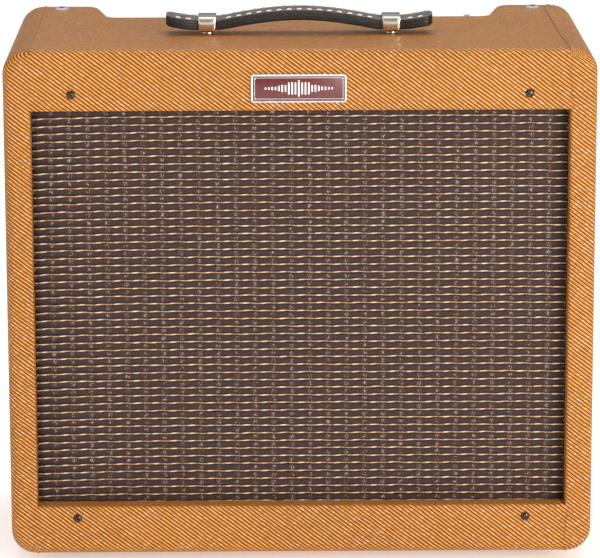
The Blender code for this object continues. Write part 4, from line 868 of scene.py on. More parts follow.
def stackedLeather():
    # Vegetable leather, dyed black and waxed: a pebbled top painted paler as a painted sheen, and cut sides that show
    # the layers.
    made, tree, shader = newMaterial("black waxed strap leather", {"Roughness": 0.42, "Specular IOR Level": 0.55})
    place = addNode(tree, "ShaderNodeTexCoord").outputs["Object"]
    pebble = addNode(tree, "ShaderNodeTexVoronoi", {"feature": "F1"}, {"Vector": place, "Scale": 1 / (1.1 * mm)})
    worn = addNode(tree, "ShaderNodeTexNoise", inputs={"Vector": place, "Scale": 1 / (3.5 * mm),
                                                       "Detail": 5.0}).outputs["Fac"]
    # Faces turned upward take the paler top colours, a painted sheen; the rest take the dark side colours.
    facing = addNode(tree, "ShaderNodeSeparateXYZ",
                     inputs={0: addNode(tree, "ShaderNodeNewGeometry").outputs["Normal"]}).outputs["Z"]
    paintedSheenMask = addNode(tree, "ShaderNodeMapRange", inputs={"Value": facing, "From Min": 0.45,
                                                         "From Max": 0.8}).outputs[0]
    top = addNode(tree, "ShaderNodeValToRGB",
                  {"stops": [(0.32, handle["top"][0]), (0.68, handle["top"][1])]}, {"Fac": worn}).outputs[0]
    cut = addNode(tree, "ShaderNodeTexNoise", inputs={
        "Vector": addNode(tree, "ShaderNodeMapping", inputs={"Vector": place, "Scale": (0.12, 1, 1)}).outputs[0],
        "Scale": 1 / (0.8 * mm), "Detail": 3.0}).outputs["Fac"]
    side = addNode(tree, "ShaderNodeValToRGB",
                   {"stops": [(0.40, handle["side"][0]), (0.70, handle["side"][1])]}, {"Fac": cut}).outputs[0]
    layer = addNode(tree, "ShaderNodeTexCoord").outputs["UV"]
    layer = addNode(tree, "ShaderNodeSeparateXYZ", inputs={0: layer}).outputs["Y"]
    layer = addNode(tree, "ShaderNodeMath", {"operation": "MULTIPLY"}, {0: layer, 1: 4.0}).outputs[0]
    layer = addNode(tree, "ShaderNodeMath", {"operation": "FRACT"}, {0: layer}).outputs[0]
    layer = addNode(tree, "ShaderNodeMath", {"operation": "SUBTRACT"}, {0: layer, 1: 0.5}).outputs[0]
    layer = addNode(tree, "ShaderNodeMath", {"operation": "ABSOLUTE"}, {0: layer}).outputs[0]
    layer = addNode(tree, "ShaderNodeMapRange", inputs={"Value": layer, "From Min": 0.0,
                                                        "From Max": 0.09}).outputs[0]
    tone = addNode(tree, "ShaderNodeMix", {"data_type": "RGBA"}, {0: paintedSheenMask, 6: side, 7: top}).outputs[2]
    tree.links.new(tone, shader.inputs["Base Color"])
    height = addNode(tree, "ShaderNodeMath", {"operation": "MULTIPLY_ADD"},
                     {0: layer, 1: 1.4, 2: pebble.outputs["Distance"]}).outputs[0]
    height = addNode(tree, "ShaderNodeMath", {"operation": "ADD"}, {0: height, 1: worn}).outputs[0]
    relief = addNode(tree, "ShaderNodeBump", inputs={"Height": height, "Distance": 0.22 * mm,
                                                     "Strength": 0.9}).outputs[0]
    tree.links.new(relief, shader.inputs["Normal"])
    polish = addNode(tree, "ShaderNodeMapRange", inputs={"Value": worn, "To Min": 0.3, "To Max": 0.55}).outputs[0]
    tree.links.new(polish, shader.inputs["Roughness"])
    return made


def makeHandle():
    h = handle
    low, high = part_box("handle_strap")
    middle, base = (low.y + high.y) / 2, low.z
    rings, stations = [], 110
    for k in range(stations + 1):
        x = -h["halfLength"] + 2 * h["halfLength"] * k / stations
        half, floor = strapWidth(x) / 2, strapRise(x)
        pinch = min(1.0, (h["halfLength"] - abs(x)) / 0.8)  # the ends are eased over
        tall = h["thick"] * (0.86 + 0.14 * pinch)
        half -= 0.5 * (1 - pinch)
        section = roundedRectangle(-half, half, floor + (h["thick"] - tall) / 2, floor + (h["thick"] + tall) / 2,
                                   h["corner"], 4)
        rings.append([(x * mm, middle + y * mm,
                       base + (z + h["crown"] * (1 - (y / half) ** 2) * (z > floor + h["thick"] / 2)) * mm)
                      for y, z in section])
    mesh = loft(rings)
    layer = mesh.loops.layers.uv.new("UVMap")
    for face in mesh.faces:
        for loop in face.loops:
            x, _, z = loop.vert.co / mm
            loop[layer].uv = (x, (z - base / mm - strapRise(x)) / h["thick"])
    leather = stackedLeather()
    newPiece("leatherStrap", mesh, leather, "handle", ["handle_strap"])
    thread = clouded("waxed linen thread", {"Roughness": 0.55}, h["thread"], 0.8, bump=0.1)
    stitches = []
    for row, offset in ((-1, 0.0), (1, 0.5)):
        count = int(h["halfLength"] * 2 / h["stitchPitch"])
        for k in range(-count // 2, count // 2 + 1):
            x = (k + offset) * h["stitchPitch"]
            if abs(x) > h["halfLength"] - 5 or abs(abs(x) - h["bracketX"]) < h["bracketWidth"] / 2 + h["travel"] + 1.6:
                continue
            path = []
            for t in (-0.5, -0.42, -0.25, 0.0, 0.25, 0.42, 0.5):
                px = x + t * h["stitchLength"]
                y = row * (strapWidth(px) / 2 - h["stitchInset"])
                top = strapRise(px) + h["thick"] + h["crown"] * (1 - (2 * y / strapWidth(px)) ** 2)
                lift = 0.22 - 1.1 * max(0.0, abs(t) - 0.3) / 0.2
                path.append((px * mm, middle + (y + 0.25 * t) * mm, base + (top + lift) * mm))
            half = h["stitchThick"] / 2 * mm
            stitches.append(tube(path, [half * 0.6, half * 0.85, half, half, half, half * 0.85, half * 0.6], 8))
    newPiece("strapStitches", merged(stitches), thread, "handle", smooth=80)

    bandThick, play = 0.9, 0.7
    for name, side in (("left", -1), ("right", 1)):
        node = "handle_bracket_" + name
        inner = roundedRectangle(-h["width"] / 2 - play, h["width"] / 2 + play, -0.3, h["thick"] + h["crown"] + 0.6,
                                 1.5, 4)
        outer = roundedRectangle(-h["width"] / 2 - play - bandThick, h["width"] / 2 + play + bandThick,
                                 -0.3 - bandThick, h["thick"] + h["crown"] + 0.6 + bandThick, 1.5 + bandThick, 4)
        roof = outer[0][1]

        def halfWidth(z):  # widest over the top, waisted half way down
            share = max(0.0, min(1.0, z / h["thick"]))
            return 6.1 + 1.0 * share ** 3 + 0.4 * (1 - share) ** 3

        def placedLoop(outline, across):
            return [(side * h["bracketX"] * mm + across * halfWidth(z) * mm, middle + y * mm, base + z * mm) for y,
                    z in outline]

        eased = [(y * 0.985, z - 0.12 if z > roof - 1 else z) for y, z in outer]
        rings = [placedLoop(inner, -1), placedLoop(inner, 1), placedLoop(eased, 1), placedLoop(outer, 0.95),
                 placedLoop(outer, 0.5),
                 placedLoop(outer, -0.5), placedLoop(outer, -0.95), placedLoop(eased, -1)]
        band = loft(rings, closed=True)
        bossTop = base - (0.3 + bandThick) * mm
        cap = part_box(node)[0].z
        boss = lathe([(0, cap), (6.2 * mm, cap), (6.3 * mm, cap + 0.5 * mm), (5.9 * mm, cap + 1.5 * mm),
                      (5.2 * mm, bossTop - 0.1 * mm), (5.0 * mm, bossTop + 0.4 * mm), (0, bossTop + 0.4 * mm)],
                     (side * h["bracketX"] * mm, middle, 0), 2, 36)
        newPiece("strapBracket" + name.title(), merged([band, boss]), polishedNickel,
                 instead=[node])
        dimple = lathe([(0, 0.05 * mm), (0.75 * mm, 0.05 * mm), (1.0 * mm, 0.16 * mm), (1.25 * mm, 0.02 * mm),
                        (1.25 * mm, -0.2 * mm),
                        (0, -0.2 * mm)], (side * h["bracketX"] * mm, middle - 6.2 * mm, base + roof * mm), 2, 20)
        newPiece("bracketDimple" + name.title(), dimple, blackOxide)


makeHandle()
print("stage: handle")

# The nameplate's lettering is replaced by a plain row of sound bars.
plate = {"frame": 1.8, "corner": 2.2, "fieldDepth": 0.7, "field": ("#5a1f24", "#6b282c"), "bars": 21,
         "barPitch": 2.55,
         "barWidth": 1.25, "nailInset": 3.3, "enamel": ("#e9e6e1", "#f6f4f0")}


def makeNameplate():
    low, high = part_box("nameplate")
    front = low.y

    def rim(inset, y, radius):
        outline = roundedRectangle(low.x + inset, high.x - inset, low.z + inset, high.z - inset,
                                   max(radius - inset, 0.3 * mm), 6)
        return [(x, y, z) for x, z in outline]

    corner, frameWidth = plate["corner"] * mm, plate["frame"] * mm
    deep = front + plate["fieldDepth"] * mm
    ring = loft([rim(0, high.y, corner), rim(0, front + 0.35 * mm, corner), rim(0.3 * mm, front + 0.05 * mm,
                                                                                corner),
                 rim(frameWidth * 0.5, front, corner), rim(frameWidth - 0.35 * mm, front + 0.1 * mm, corner),
                 rim(frameWidth, deep, corner), rim(frameWidth, high.y, corner)], closed=True)
    silver = clouded("polished nickel silver", {"Metallic": 0.9, "Roughness": 0.16}, ("#dfe0e2", "#f2f2f3"), 3,
                     polish=(0.12, 0.24))
    newPiece("nameplateFrame", ring, silver, instead=["nameplate"])
    field = block((low.x + frameWidth - 0.2 * mm, deep, low.z + frameWidth - 0.2 * mm),
                  (high.x - frameWidth + 0.2 * mm, high.y, high.z - frameWidth + 0.2 * mm), 0.1 * mm)
    enamel = clouded("maroon stove enamel", {"Roughness": 0.32, "Coat Weight": 0.3, "Coat Roughness": 0.15},
                     plate["field"], 1.5, bump=0.02)
    newPiece("nameplateField", field, enamel)
    bright = clouded("white stove enamel", {"Roughness": 0.35}, plate["enamel"], 2, bump=0.02)
    bars, middle = [], (low + high) / 2
    for k in range(plate["bars"]):
        t = k - (plate["bars"] - 1) / 2
        tall = (0.8 + 5.6 * math.exp(-(t / 5.2) ** 2) * (0.55 + 0.45 * abs(math.cos(1.15 * t)))) * mm
        half = plate["barWidth"] / 2 * mm
        outline = roundedRectangle(middle.x + t * plate["barPitch"] * mm - half,
                                   middle.x + t * plate["barPitch"] * mm + half,
                                   middle.z - tall, middle.z + tall, half * 0.98, 4)
        bars.append(loft([[(x, y, z) for x, z in outline] for y in (deep + 0.1 * mm, deep - 0.35 * mm)]))
    line = frameWidth + 0.9 * mm
    bars.append(loft([rim(line, deep + 0.1 * mm, corner), rim(line, deep - 0.12 * mm, corner),
                      rim(line + 0.28 * mm, deep - 0.12 * mm, corner), rim(line + 0.28 * mm, deep + 0.1 * mm,
                                                                           corner)], closed=True))
    newPiece("nameplateMotif", merged(bars), bright)
    nails, inset = [], plate["nailInset"] * mm
    for x in (low.x + inset, high.x - inset):
        for z in (low.z + inset, high.z - inset):
            nails.append(lathe([(0, -1.0 * mm), (0.6 * mm, -0.88 * mm), (1.05 * mm, -0.4 * mm), (1.15 * mm, 0),
                                (0, 0)],
                               (x, deep, z), 1, 20))
    newPiece("nameplateNails", merged(nails), polishedNickel)


makeNameplate()
for number in range(1, 5):
    low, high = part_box(f"baffle_screw_{number}")
    spot = ((low.x + high.x) / 2, coverLow.y - 0.05 * mm, (low.z + high.z) / 2)
    phillipsScrew(f"baffleScrew{number}", spot, 1, -1, 3.5 * mm, 1.7 * mm, blackOxide, (2.0 * mm, 30 * mm),
                  [f"baffle_screw_{number}"])
print("stage: nameplate and front screws")

# Rear boards wrapped in the same cloth, with a flat-wrapped edge.
backBoard = {"edge": 1.3, "screwX": 0.1985, "lowScrewX": 0.07, "screwRadius": 3.6, "screwRise": 1.3}
for node, name in (("upper_back_panel", "tweedUpperBackPanel"), ("lower_back_panel", "tweedLowerBackPanel")):
    low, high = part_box(node)
    newPiece(name, planned(block(low, high, backBoard["edge"] * mm, 3)), tweedCloth,
             instead=[node])
upper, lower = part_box("upper_back_panel"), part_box("lower_back_panel")
spots = [(side * backBoard["screwX"], z) for side in (-1, 1) for z in (upper[0].z + 0.018, upper[1].z - 0.024,
                                                                       lower[0].z + 0.016, lower[1].z - 0.018)]
spots += [(x, lower[0].z + 0.012) for x in (-backBoard["lowScrewX"], backBoard["lowScrewX"])]
for number, (x, z) in enumerate(spots, 1):
    cup = lathe([(3.0 * mm, 0.2 * mm), (3.9 * mm, 1.5 * mm), (4.6 * mm, 1.7 * mm), (6.0 * mm, 0.5 * mm),
                 (6.3 * mm, -0.1 * mm), (3.2 * mm, -0.1 * mm)],
                (x, upper[1].y, z), 1, 32, ring=True)
    newPiece(f"backCupWasher{number}", cup, polishedNickel)
    phillipsScrew(f"backScrew{number}", (x, upper[1].y + 0.7 * mm, z), 1, 1, backBoard["screwRadius"] * mm,
                  backBoard["screwRise"] * mm, blackOxide)

# Two cup-washered machine screws hold the chassis up to the top board.
for name, side in (("Left", -1), ("Right", 1)):
    node = "chassis_screw_" + name.lower()
    middle = centred(node)
    spot = (middle.x, middle.y, coverHigh.z)
    cup = lathe([(3.0 * mm, 0.02 * mm), (3.5 * mm, 0.1 * mm), (4.6 * mm, 1.8 * mm), (5.1 * mm, 1.85 * mm),
                 (5.8 * mm, 1.1 * mm), (6.2 * mm, 0.1 * mm),
                 (6.1 * mm, -0.05 * mm), (3.0 * mm, -0.05 * mm)], spot, 2, 40, ring=True)
    newPiece("chassisCupWasher" + name, cup, polishedChrome)
    phillipsScrew("chassisScrew" + name, (spot[0], spot[1], spot[2] + 0.55 * mm), 2, 1, 3.3 * mm, 1.6 * mm,
                  blackOxide,
                  (2.2 * mm, 30 * mm), [node])

# Moulded rubber feet with a washer and screw up the middle.
rubber = clouded("moulded black rubber", {"Roughness": 0.78, "Specular IOR Level": 0.3}, ("#17171a", "#26262a"),
                 1.4, polish=(0.68, 0.88), bump=0.05)
foot = {"screwHeight": 4.6, "screwRadius": 4.1, "screwRise": 1.5,  # mm, up from the floor
        "profile": [(4.6, 4.2), (4.6, 0.5), (5.1, 0), (11.6, 0), (12.4, 0.45), (12.75, 1.4), (14.5, 8.6),
                    (15.0, 9.2), (15.0, 9.65), (4.6, 9.65)]}
for node in ("foot_front_left", "foot_front_right", "foot_rear_left", "foot_rear_right"):
    middle = centred(node)
    words = node.split("_")
    name = words[0] + words[1].title() + words[2].title()
    newPiece(name, lathe(inMetres(foot["profile"]), (middle.x, middle.y, 0), 2, 40, ring=True), rubber,
             instead=[node])
    phillipsScrew(name + "Screw", (middle.x, middle.y, foot["screwHeight"] * mm), 2, -1, foot["screwRadius"] * mm,
                  foot["screwRise"] * mm, zincPlate, None)
print("stage: back panels, feet and screws")

# Bare wood inside: planed pine boards and a birch ply baffle stained black on its speaker side.
pine = clouded("planed pine board", {"Roughness": 0.62, "Specular IOR Level": 0.35}, ("#b98a55", "#e0bd8a"), 14,
               stretch=(0.10, 1.0, 0.10),
               polish=(0.5, 0.72), bump=0.08)
pineUpright = clouded("planed pine side", {"Roughness": 0.62, "Specular IOR Level": 0.35}, ("#b88853", "#dfbb87"),
                      14, stretch=(1.0, 1.0, 0.07),
                      polish=(0.5, 0.72), bump=0.08)
birch = clouded("stained birch ply", {"Roughness": 0.6}, ("#1e1915", "#3a3028"), 22, stretch=(0.12, 1.0, 1.0),
                polish=(0.5, 0.7), bump=0.06)
for node, finish in (("top_board", pine), ("bottom_board", pine), ("left_side_board", pineUpright),
                     ("right_side_board", pineUpright),
                     ("upper_front_rail", pine), ("lower_front_rail", pine), ("baffle_board", birch),
                     ("chassis", zincPlate),
                     ("control_panel", brushedChrome)):
    refinish(node, finish)
for knob in ("reverb", "master", "middle", "bass", "treble", "volume"):
    refinish(knob + "_pot", zincPlate)

# Controls, read from behind: a screen-printed ring of numbers round each pointer knob.
controls = {"y": centred("volume_pot").y, "panel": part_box("control_panel")[1].z, "skirt": 9.2, "tip": 15.5,
            "tail": 11.8, "markRadius": 13.6, "numberRadius": 15.3, "numberHeight": 2.3, "turn": 150.0,
            "settings": {"reverb": -75.0, "master": -50.0, "middle": 15.0, "bass": -20.0, "treble": 10.0,
                         "volume": -35.0},
            "places": {"reverb": 84.0, "master": 51.0, "middle": 18.0, "bass": -15.0, "treble": -48.0,
                       "volume": -96.0}}
phenolic = clouded("moulded black phenolic", {"Roughness": 0.24, "Specular IOR Level": 0.55, "Coat Weight": 0.2},
                   ("#0d0c0c", "#1b1918"), 2.5,
                   polish=(0.18, 0.32), bump=0.01)
whitePaint = clouded("white filled line", {"Roughness": 0.5}, ("#e4e2dc", "#f7f5f0"), 1.5, bump=0.02)
blackInk = clouded("black screen ink", {"Roughness": 0.45}, ("#141414", "#26262a"), 1.0, bump=0.01)
nylon = clouded("moulded black nylon", {"Roughness": 0.46, "Specular IOR Level": 0.45}, ("#161617", "#242426"), 1.8,
                polish=(0.4, 0.55), bump=0.02)


def panelNumbers():
    c = controls
    marks, digits = [], {}
    for number in range(1, 13):
        text = bpy.data.curves.new("digit", "FONT")
        text.body, text.size = str(number), c["numberHeight"] * mm * 1.35
        text.align_x, text.align_y, text.resolution_u = "CENTER", "CENTER", 2
        text.extrude = 0.03 * mm
        holder = bpy.data.objects.new("digit", text)
        scene.collection.objects.link(holder)
        graph = bpy.context.evaluated_depsgraph_get()
        digits[number] = bpy.data.meshes.new_from_object(holder.evaluated_get(graph))
        bpy.data.objects.remove(holder)
    turnRound = Matrix.Rotation(math.pi, 4, "Z")
    for knob, x in c["places"].items():
        for number in range(1, 13):
            angle = math.radians(-c["turn"] + 2 * c["turn"] * (number - 1) / 11)
            out = Vector((-math.sin(angle), -math.cos(angle), 0))
            centre = Vector((x * mm, c["y"], c["panel"] + 0.035 * mm))
            figure = bmesh.new()
            figure.from_mesh(digits[number])
            figure.transform(Matrix.Translation(centre + out * c["numberRadius"] * mm) @ turnRound)
            marks.append(figure)
            tick = block((-0.2 * mm, c["markRadius"] * mm - 1.5 * mm, -0.03 * mm),
                         (0.2 * mm, c["markRadius"] * mm - 0.2 * mm, 0.03 * mm), 0.0)
            tick.transform(Matrix.Translation(centre) @ Matrix.Rotation(math.pi - angle, 4, "Z"))
            marks.append(tick)
    line = block((-0.196, 0.0475, c["panel"]), (0.196, 0.0480, c["panel"] + 0.06 * mm), 0.0)
    marks.append(line)
    newPiece("panelNumbers", merged(marks), blackInk, smooth=20)


panelNumbers()


def pointerPlan(grow):
    c = controls
    tip, tail, radius = c["tip"], c["tail"], c["skirt"]
    points = [*arcPoints((0, -tip + 1.2), 1.2 + grow, 200, 340, 6), (4.0 + grow, -radius * 0.55),
              (4.9 + grow, -radius * 0.2), (5.2 + grow, 1.0),
              (4.8 + grow, tail * 0.45), *arcPoints((0, tail - 4.2), 4.2 + grow, 10, 170, 8),
              (-4.8 - grow, tail * 0.45),
              (-5.2 - grow, 1.0), (-4.9 - grow, -radius * 0.2), (-4.0 - grow, -radius * 0.55)]
    return points


def makeKnobs():
    c = controls
    for knob, x in c["places"].items():
        base = c["panel"] + 0.6 * mm
        skirt = lathe(inMetres([(0, 3.6), (6.8, 3.6), (6.8, 0.2), (7.0, 0), (9.0, 0), (9.2, 0.3), (9.2, 3.6),
                                (9.0, 4.6), (8.5, 5.4), (7.6, 5.9), (0, 6.1)]), segments=44)
        shaft = lathe([(0, -8.9 * mm), (3.0 * mm, -8.9 * mm), (3.0 * mm, 3.8 * mm), (0, 3.8 * mm)], segments=20)
        levels = ((4.0, 0.0), (9.6, -0.15), (11.2, -0.35), (11.8, -0.8), (12.0, -1.4))
        grip = loft([[(px * mm, py * mm, z * mm) for px, py in pointerPlan(g)] for z, g in levels])
        line = block((-0.35 * mm, -15.0 * mm, 11.9 * mm), (0.35 * mm, -4.0 * mm, 12.12 * mm), 0.1 * mm)
        nose = block((-0.35 * mm, -15.65 * mm, 5.6 * mm), (0.35 * mm, -15.2 * mm, 11.6 * mm), 0.1 * mm)
        mesh = merged([skirt, shaft, grip, painted(line, 1), painted(nose, 1)])
        mesh.transform(Matrix.Translation((x * mm, c["y"],
                                           base)) @ Matrix.Rotation(-math.radians(c["settings"][knob]), 4, "Z"))
        newPiece(knob + "PointerKnob", mesh, [phenolic, whitePaint], knob + "_knob",
                 [knob + "_knob"])
        nut = lathe([(5.2 * mm, 0), (5.2 * mm, 1.0 * mm), (4.9 * mm, 1.2 * mm), (4.7 * mm, 1.2 * mm),
                     (4.7 * mm, 0)],
                    (x * mm, c["y"], c["panel"]), 2, 6, ring=True)
        newPiece(knob + "PotNut", nut, zincPlate, smooth=20)


makeKnobs()


def makePanelParts():
    top, y = controls["panel"], controls["y"]
    at = lambda node: Vector((centred(node).x, y, top))
    # Quarter-inch jack: hexagon nut, threaded neck, nylon body under the panel.
    jack = at("input_jack")
    thread = [(3.3, -24), (3.3, 4.6), (3.6, 4.9), (4.9, 4.9)]
    for k in range(5):
        thread += [(5.1, 4.6 - 0.35 * k * 2), (4.7, 4.25 - 0.35 * k * 2)]
    thread += [(5.3, 0.2), (5.3, -1.5), (7.4, -1.8), (7.4, -25.5), (3.3, -25.5)]
    neck = lathe(inMetres(thread), jack, 2, 36, ring=True)
    nut = lathe([(5.4 * mm, 0.1 * mm), (7.9 * mm, 0.1 * mm), (8.0 * mm, 0.5 * mm), (8.0 * mm, 2.4 * mm),
                 (7.4 * mm, 2.9 * mm), (5.4 * mm, 2.9 * mm)],
                jack, 2, 6, ring=True)
    newPiece("inputJack", merged([painted(neck, 1), nut]), [polishedChrome, nylon],
             instead=["input_jack"])
    # Push switch with a domed cap in a plated collar.
    button = at("boost_button")
    cap = lathe(inMetres([(0, -6.2), (2.2, -6.2), (2.2, 2.6), (4.0, 2.6), (4.2, 2.9), (4.2, 5.2), (3.9, 5.8),
                          (2.6, 6.15), (0, 6.3)]),
                button, 2, 36)
    newPiece("boostButtonCap", cap, phenolic, "boost_button", ["boost_button"])
    collar = lathe(inMetres([(2.6, 0.1), (4.1, 0.1), (4.1, -1.5), (6.2, -1.8), (6.2, -10.6), (2.6, -10.6)]), button,
                   2, 36, ring=True)
    ringNut = lathe([(5.2 * mm, 0.05 * mm), (7.2 * mm, 0.05 * mm), (7.2 * mm, 1.1 * mm), (6.8 * mm, 1.5 * mm),
                     (5.3 * mm, 1.5 * mm)], button, 2, 6, ring=True)
    newPiece("boostSwitch", merged([collar, ringNut]), polishedNickel, instead=["boost_switch"],
             smooth=25)
    # Faceted jewel over the pilot lamp.
    lamp = at("pilot_lamp")
    jewel, tree, shader = newMaterial("faceted red glass jewel", {"Base Color": "#b3090f", "Roughness": 0.05,
                                                                  "IOR": 1.52, "Transmission Weight": 0.55,
                                                                  "Emission Color": "#ff1a10",
                                                                  "Emission Strength": 0.25})
    cloud = addNode(tree, "ShaderNodeTexNoise", inputs={"Vector": addNode(tree,
                                                                          "ShaderNodeTexCoord").outputs["Object"],
                                                                          "Scale": 600.0})
    tone = addNode(tree, "ShaderNodeValToRGB", {"stops": [(0.3, "#8e060b"), (0.7, "#c8141a")]},
                   {"Fac": cloud.outputs["Fac"]})
    tree.links.new(tone.outputs[0], shader.inputs["Base Color"])
    stone = lathe(inMetres([(0, 1.2), (5.9, 1.2), (5.9, 3.2), (5.3, 5.2), (3.9, 7.1), (2.0, 8.2), (0, 8.5)]), lamp,
                  2, 10)
    newPiece("pilotJewel", stone, jewel, smooth=5)
    bezel = lathe(inMetres([(5.95, 1.0), (6.0, 3.0), (6.5, 3.1), (7.6, 2.3), (8.4, 1.2), (8.5, 0.2), (6.2, 0.2),
                            (6.1, -21.0), (5.3, -21.2), (5.3, 1.0)]),
                  lamp, 2, 40, ring=True)
    newPiece("pilotBezel", bezel, polishedChrome, instead=["pilot_lamp"])
    # Bat-handle toggle.
    power = at("power_switch")
    low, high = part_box("power_switch")
    neck = [(4.3, -2.0), (4.3, 5.3), (4.6, 5.5)]
    for k in range(5):
        neck += [(5.75, 5.3 - 0.7 * k), (5.35, 4.95 - 0.7 * k)]
    neck += [(5.75, 0.8), (5.75, -6.0), (4.3, -6.0)]
    neck = lathe(inMetres(neck), power, 2, 36, ring=True)
    nut = lathe([(5.9 * mm, 0.1 * mm), (7.6 * mm, 0.1 * mm), (7.6 * mm, 1.7 * mm), (7.1 * mm, 2.1 * mm),
                 (5.9 * mm, 2.1 * mm)], power, 2, 6, ring=True)
    case = block(low, (high.x, high.y, top - 2.0 * mm), 0.6 * mm)
    lugs = [block((power.x - 2.4 * mm, power.y + d * mm - 0.4 * mm, low.z - 5 * mm),
                  (power.x + 2.4 * mm, power.y + d * mm + 0.4 * mm, low.z + 0.5 * mm), 0.2 * mm)
            for d in (-6, 6)]
    newPiece("powerSwitch", merged([neck, nut, case, *lugs]), polishedNickel,
             instead=["power_switch"], smooth=25)
    pivot = Vector((power.x, power.y, top + 2.5 * mm))
    bat = lathe(inMetres([(0, -2.4), (1.4, -1.95), (2.1, -1.1), (2.4, 0), (2.0, 1.3), (1.5, 2.0), (1.55, 4.5),
                          (2.1, 8.5), (2.6, 11.5), (2.7, 12.9),
                                               (2.4, 14.1), (1.5, 14.8), (0, 15.0)]), segments=28)
    bat.transform(Matrix.Translation(pivot) @ Matrix.Rotation(math.radians(-12.0), 4, "X"))
    newPiece("powerLever", bat, polishedChrome, "power_lever", ["power_lever"])


makePanelParts()
print("stage: control panel")

# Valves: thin glass over a grey anode, with a silver getter flash at the tip and a phenolic socket above.
glass, glassTree, glassShader = newMaterial("blown valve glass", {"Base Color": "#f4f8f8", "Roughness": 0.02,
                                                                  "IOR": 1.48, "Transmission Weight": 1.0})
haze = addNode(glassTree, "ShaderNodeTexNoise", inputs={"Vector": addNode(glassTree,
                                                                          "ShaderNodeTexCoord").outputs["Object"],
                                                                          "Scale": 90.0})
haze = addNode(glassTree, "ShaderNodeMapRange", inputs={"Value": haze.outputs["Fac"], "To Min": 0.0,
                                                        "To Max": 0.06})
glassTree.links.new(haze.outputs[0], glassShader.inputs["Roughness"])
anodeGrey = clouded("carbonised nickel anode", {"Metallic": 0.6, "Roughness": 0.6}, ("#3c3d40", "#5e5f63"), 2.5,
                    polish=(0.5, 0.7), bump=0.03)
getter = clouded("barium getter mirror", {"Metallic": 1.0, "Roughness": 0.12}, ("#8f9498", "#d4d8da"), 4,
                 polish=(0.06, 0.3))
mica = clouded("punched mica", {"Roughness": 0.35}, ("#c9bda0", "#e7dfc8"), 1.5, bump=0.02)
valves = {"preamp_tube_1": (10.2, 49), "preamp_tube_2": (10.2, 49), "preamp_tube_3": (10.2, 49),
          # radius and height, mm
          "power_tube_1": (11.0, 68), "power_tube_2": (11.0, 68)}
for node, (radius, height) in valves.items():
    middle = centred(node)
    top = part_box(node)[1].z
    spot = Vector((middle.x, middle.y, top))
    words = node.split("_")
    name = words[0] + "Valve" + words[2]
    bulb = [(radius * 0.86, -3.0), (radius * 0.93, -4.5), (radius * 0.99, -6.5), (radius, -9),
            (radius, -height + radius * 1.1),
            (radius * 0.95, -height + radius * 0.72), (radius * 0.80, -height + radius * 0.42),
            (radius * 0.5, -height + radius * 0.16),
            (2.4, -height + 0.2), (1.3, -height - 1.2), (0, -height - 3.3)]
    inner = [(r * 0.9 if r else 0, h + (1.0 if r < 6 else 0.4)) for r, h in bulb][::-1]
    newPiece(name + "Glass", lathe(inMetres(bulb + inner), spot, 2, 36, ring=True), glass,
             instead=[node])
    wide, deepness = radius * 0.62, radius * 0.40
    plan = roundedRectangle(-wide, wide, -deepness, deepness, deepness * 0.55, 4)
    body = loft([[(x * mm * g, y * mm * g, z * mm) for x, y in plan] for z, g in
                 ((-12, 0.94), (-12.6, 1.0), (-height * 0.42, 1.0), (-height * 0.43, 0.96), (-height * 0.45, 0.96),
                  (-height * 0.46, 1.0), (-height + 14.6, 1.0), (-height + 14, 0.94))])
    seams = [block((s * wide * mm - 0.25 * mm, -0.9 * mm, (-height + 14.5) * mm), (s * wide * mm + 0.6 * s * mm,
                                                                                   0.9 * mm, -12.4 * mm),
                                                                                   0.1 * mm) for s in (-1, 1)]
    stalks = [tube([(x * mm, y * mm, -4 * mm), (x * mm * 0.9, y * mm * 0.9, -11.5 * mm)], 0.35 * mm, 6) for x, y in
              ((radius * 0.42 * math.cos(a),
                radius * 0.42 * math.sin(a)) for a in (math.tau * k / 7 for k in range(7)))]
    newPiece(name + "Anode", moved(merged([body, *seams, *stalks]), spot), anodeGrey)
    discs = [lathe([(0, z * mm), (radius * 0.84 * mm, z * mm), (radius * 0.84 * mm, (z - 0.3) * mm),
                    (0, (z - 0.3) * mm)], spot, 2, 28) for z in (-11.4, -height + 13.6)]
    newPiece(name + "Mica", merged(discs), mica)
    flash = [(radius * 0.885, -height + radius * 1.05), (radius * 0.84, -height + radius * 0.80),
             (radius * 0.70, -height + radius * 0.52), (radius * 0.42, -height + radius * 0.30),
             (0, -height + radius * 0.22)]
    flash += [(max(r - 0.12, 0), h + 0.12) for r, h in flash[::-1]]
    newPiece(name + "Getter", lathe(inMetres(flash), spot, 2, 32, ring=True), getter)
    socket = lathe([(0, 0.1 * mm), (radius * 1.02 * mm, 0.1 * mm), (radius * 1.02 * mm, -2.2 * mm),
                    (radius * 0.82 * mm, -3.0 * mm), (radius * 0.8 * mm, -4.2 * mm), (0, -4.2 * mm)], spot, 2, 28)
    newPiece(name + "Socket", socket, phenolic)
print("stage: valves")

# Transformers: black-enamelled laminations between pressed end bells.
enamel, enamelTree, enamelShader = newMaterial("black stoved enamel over laminations",
                                               {"Roughness": 0.38, "Specular IOR Level": 0.5})
spot = addNode(enamelTree, "ShaderNodeTexCoord").outputs["Object"]
flake = addNode(enamelTree, "ShaderNodeTexNoise", inputs={"Vector": spot, "Scale": 900.0,
                                                          "Detail": 3.0}).outputs["Fac"]
flake = addNode(enamelTree, "ShaderNodeValToRGB", {"stops": [(0.35, "#141416"), (0.7, "#26262a")]}, {"Fac": flake})
enamelTree.links.new(flake.outputs[0], enamelShader.inputs["Base Color"])
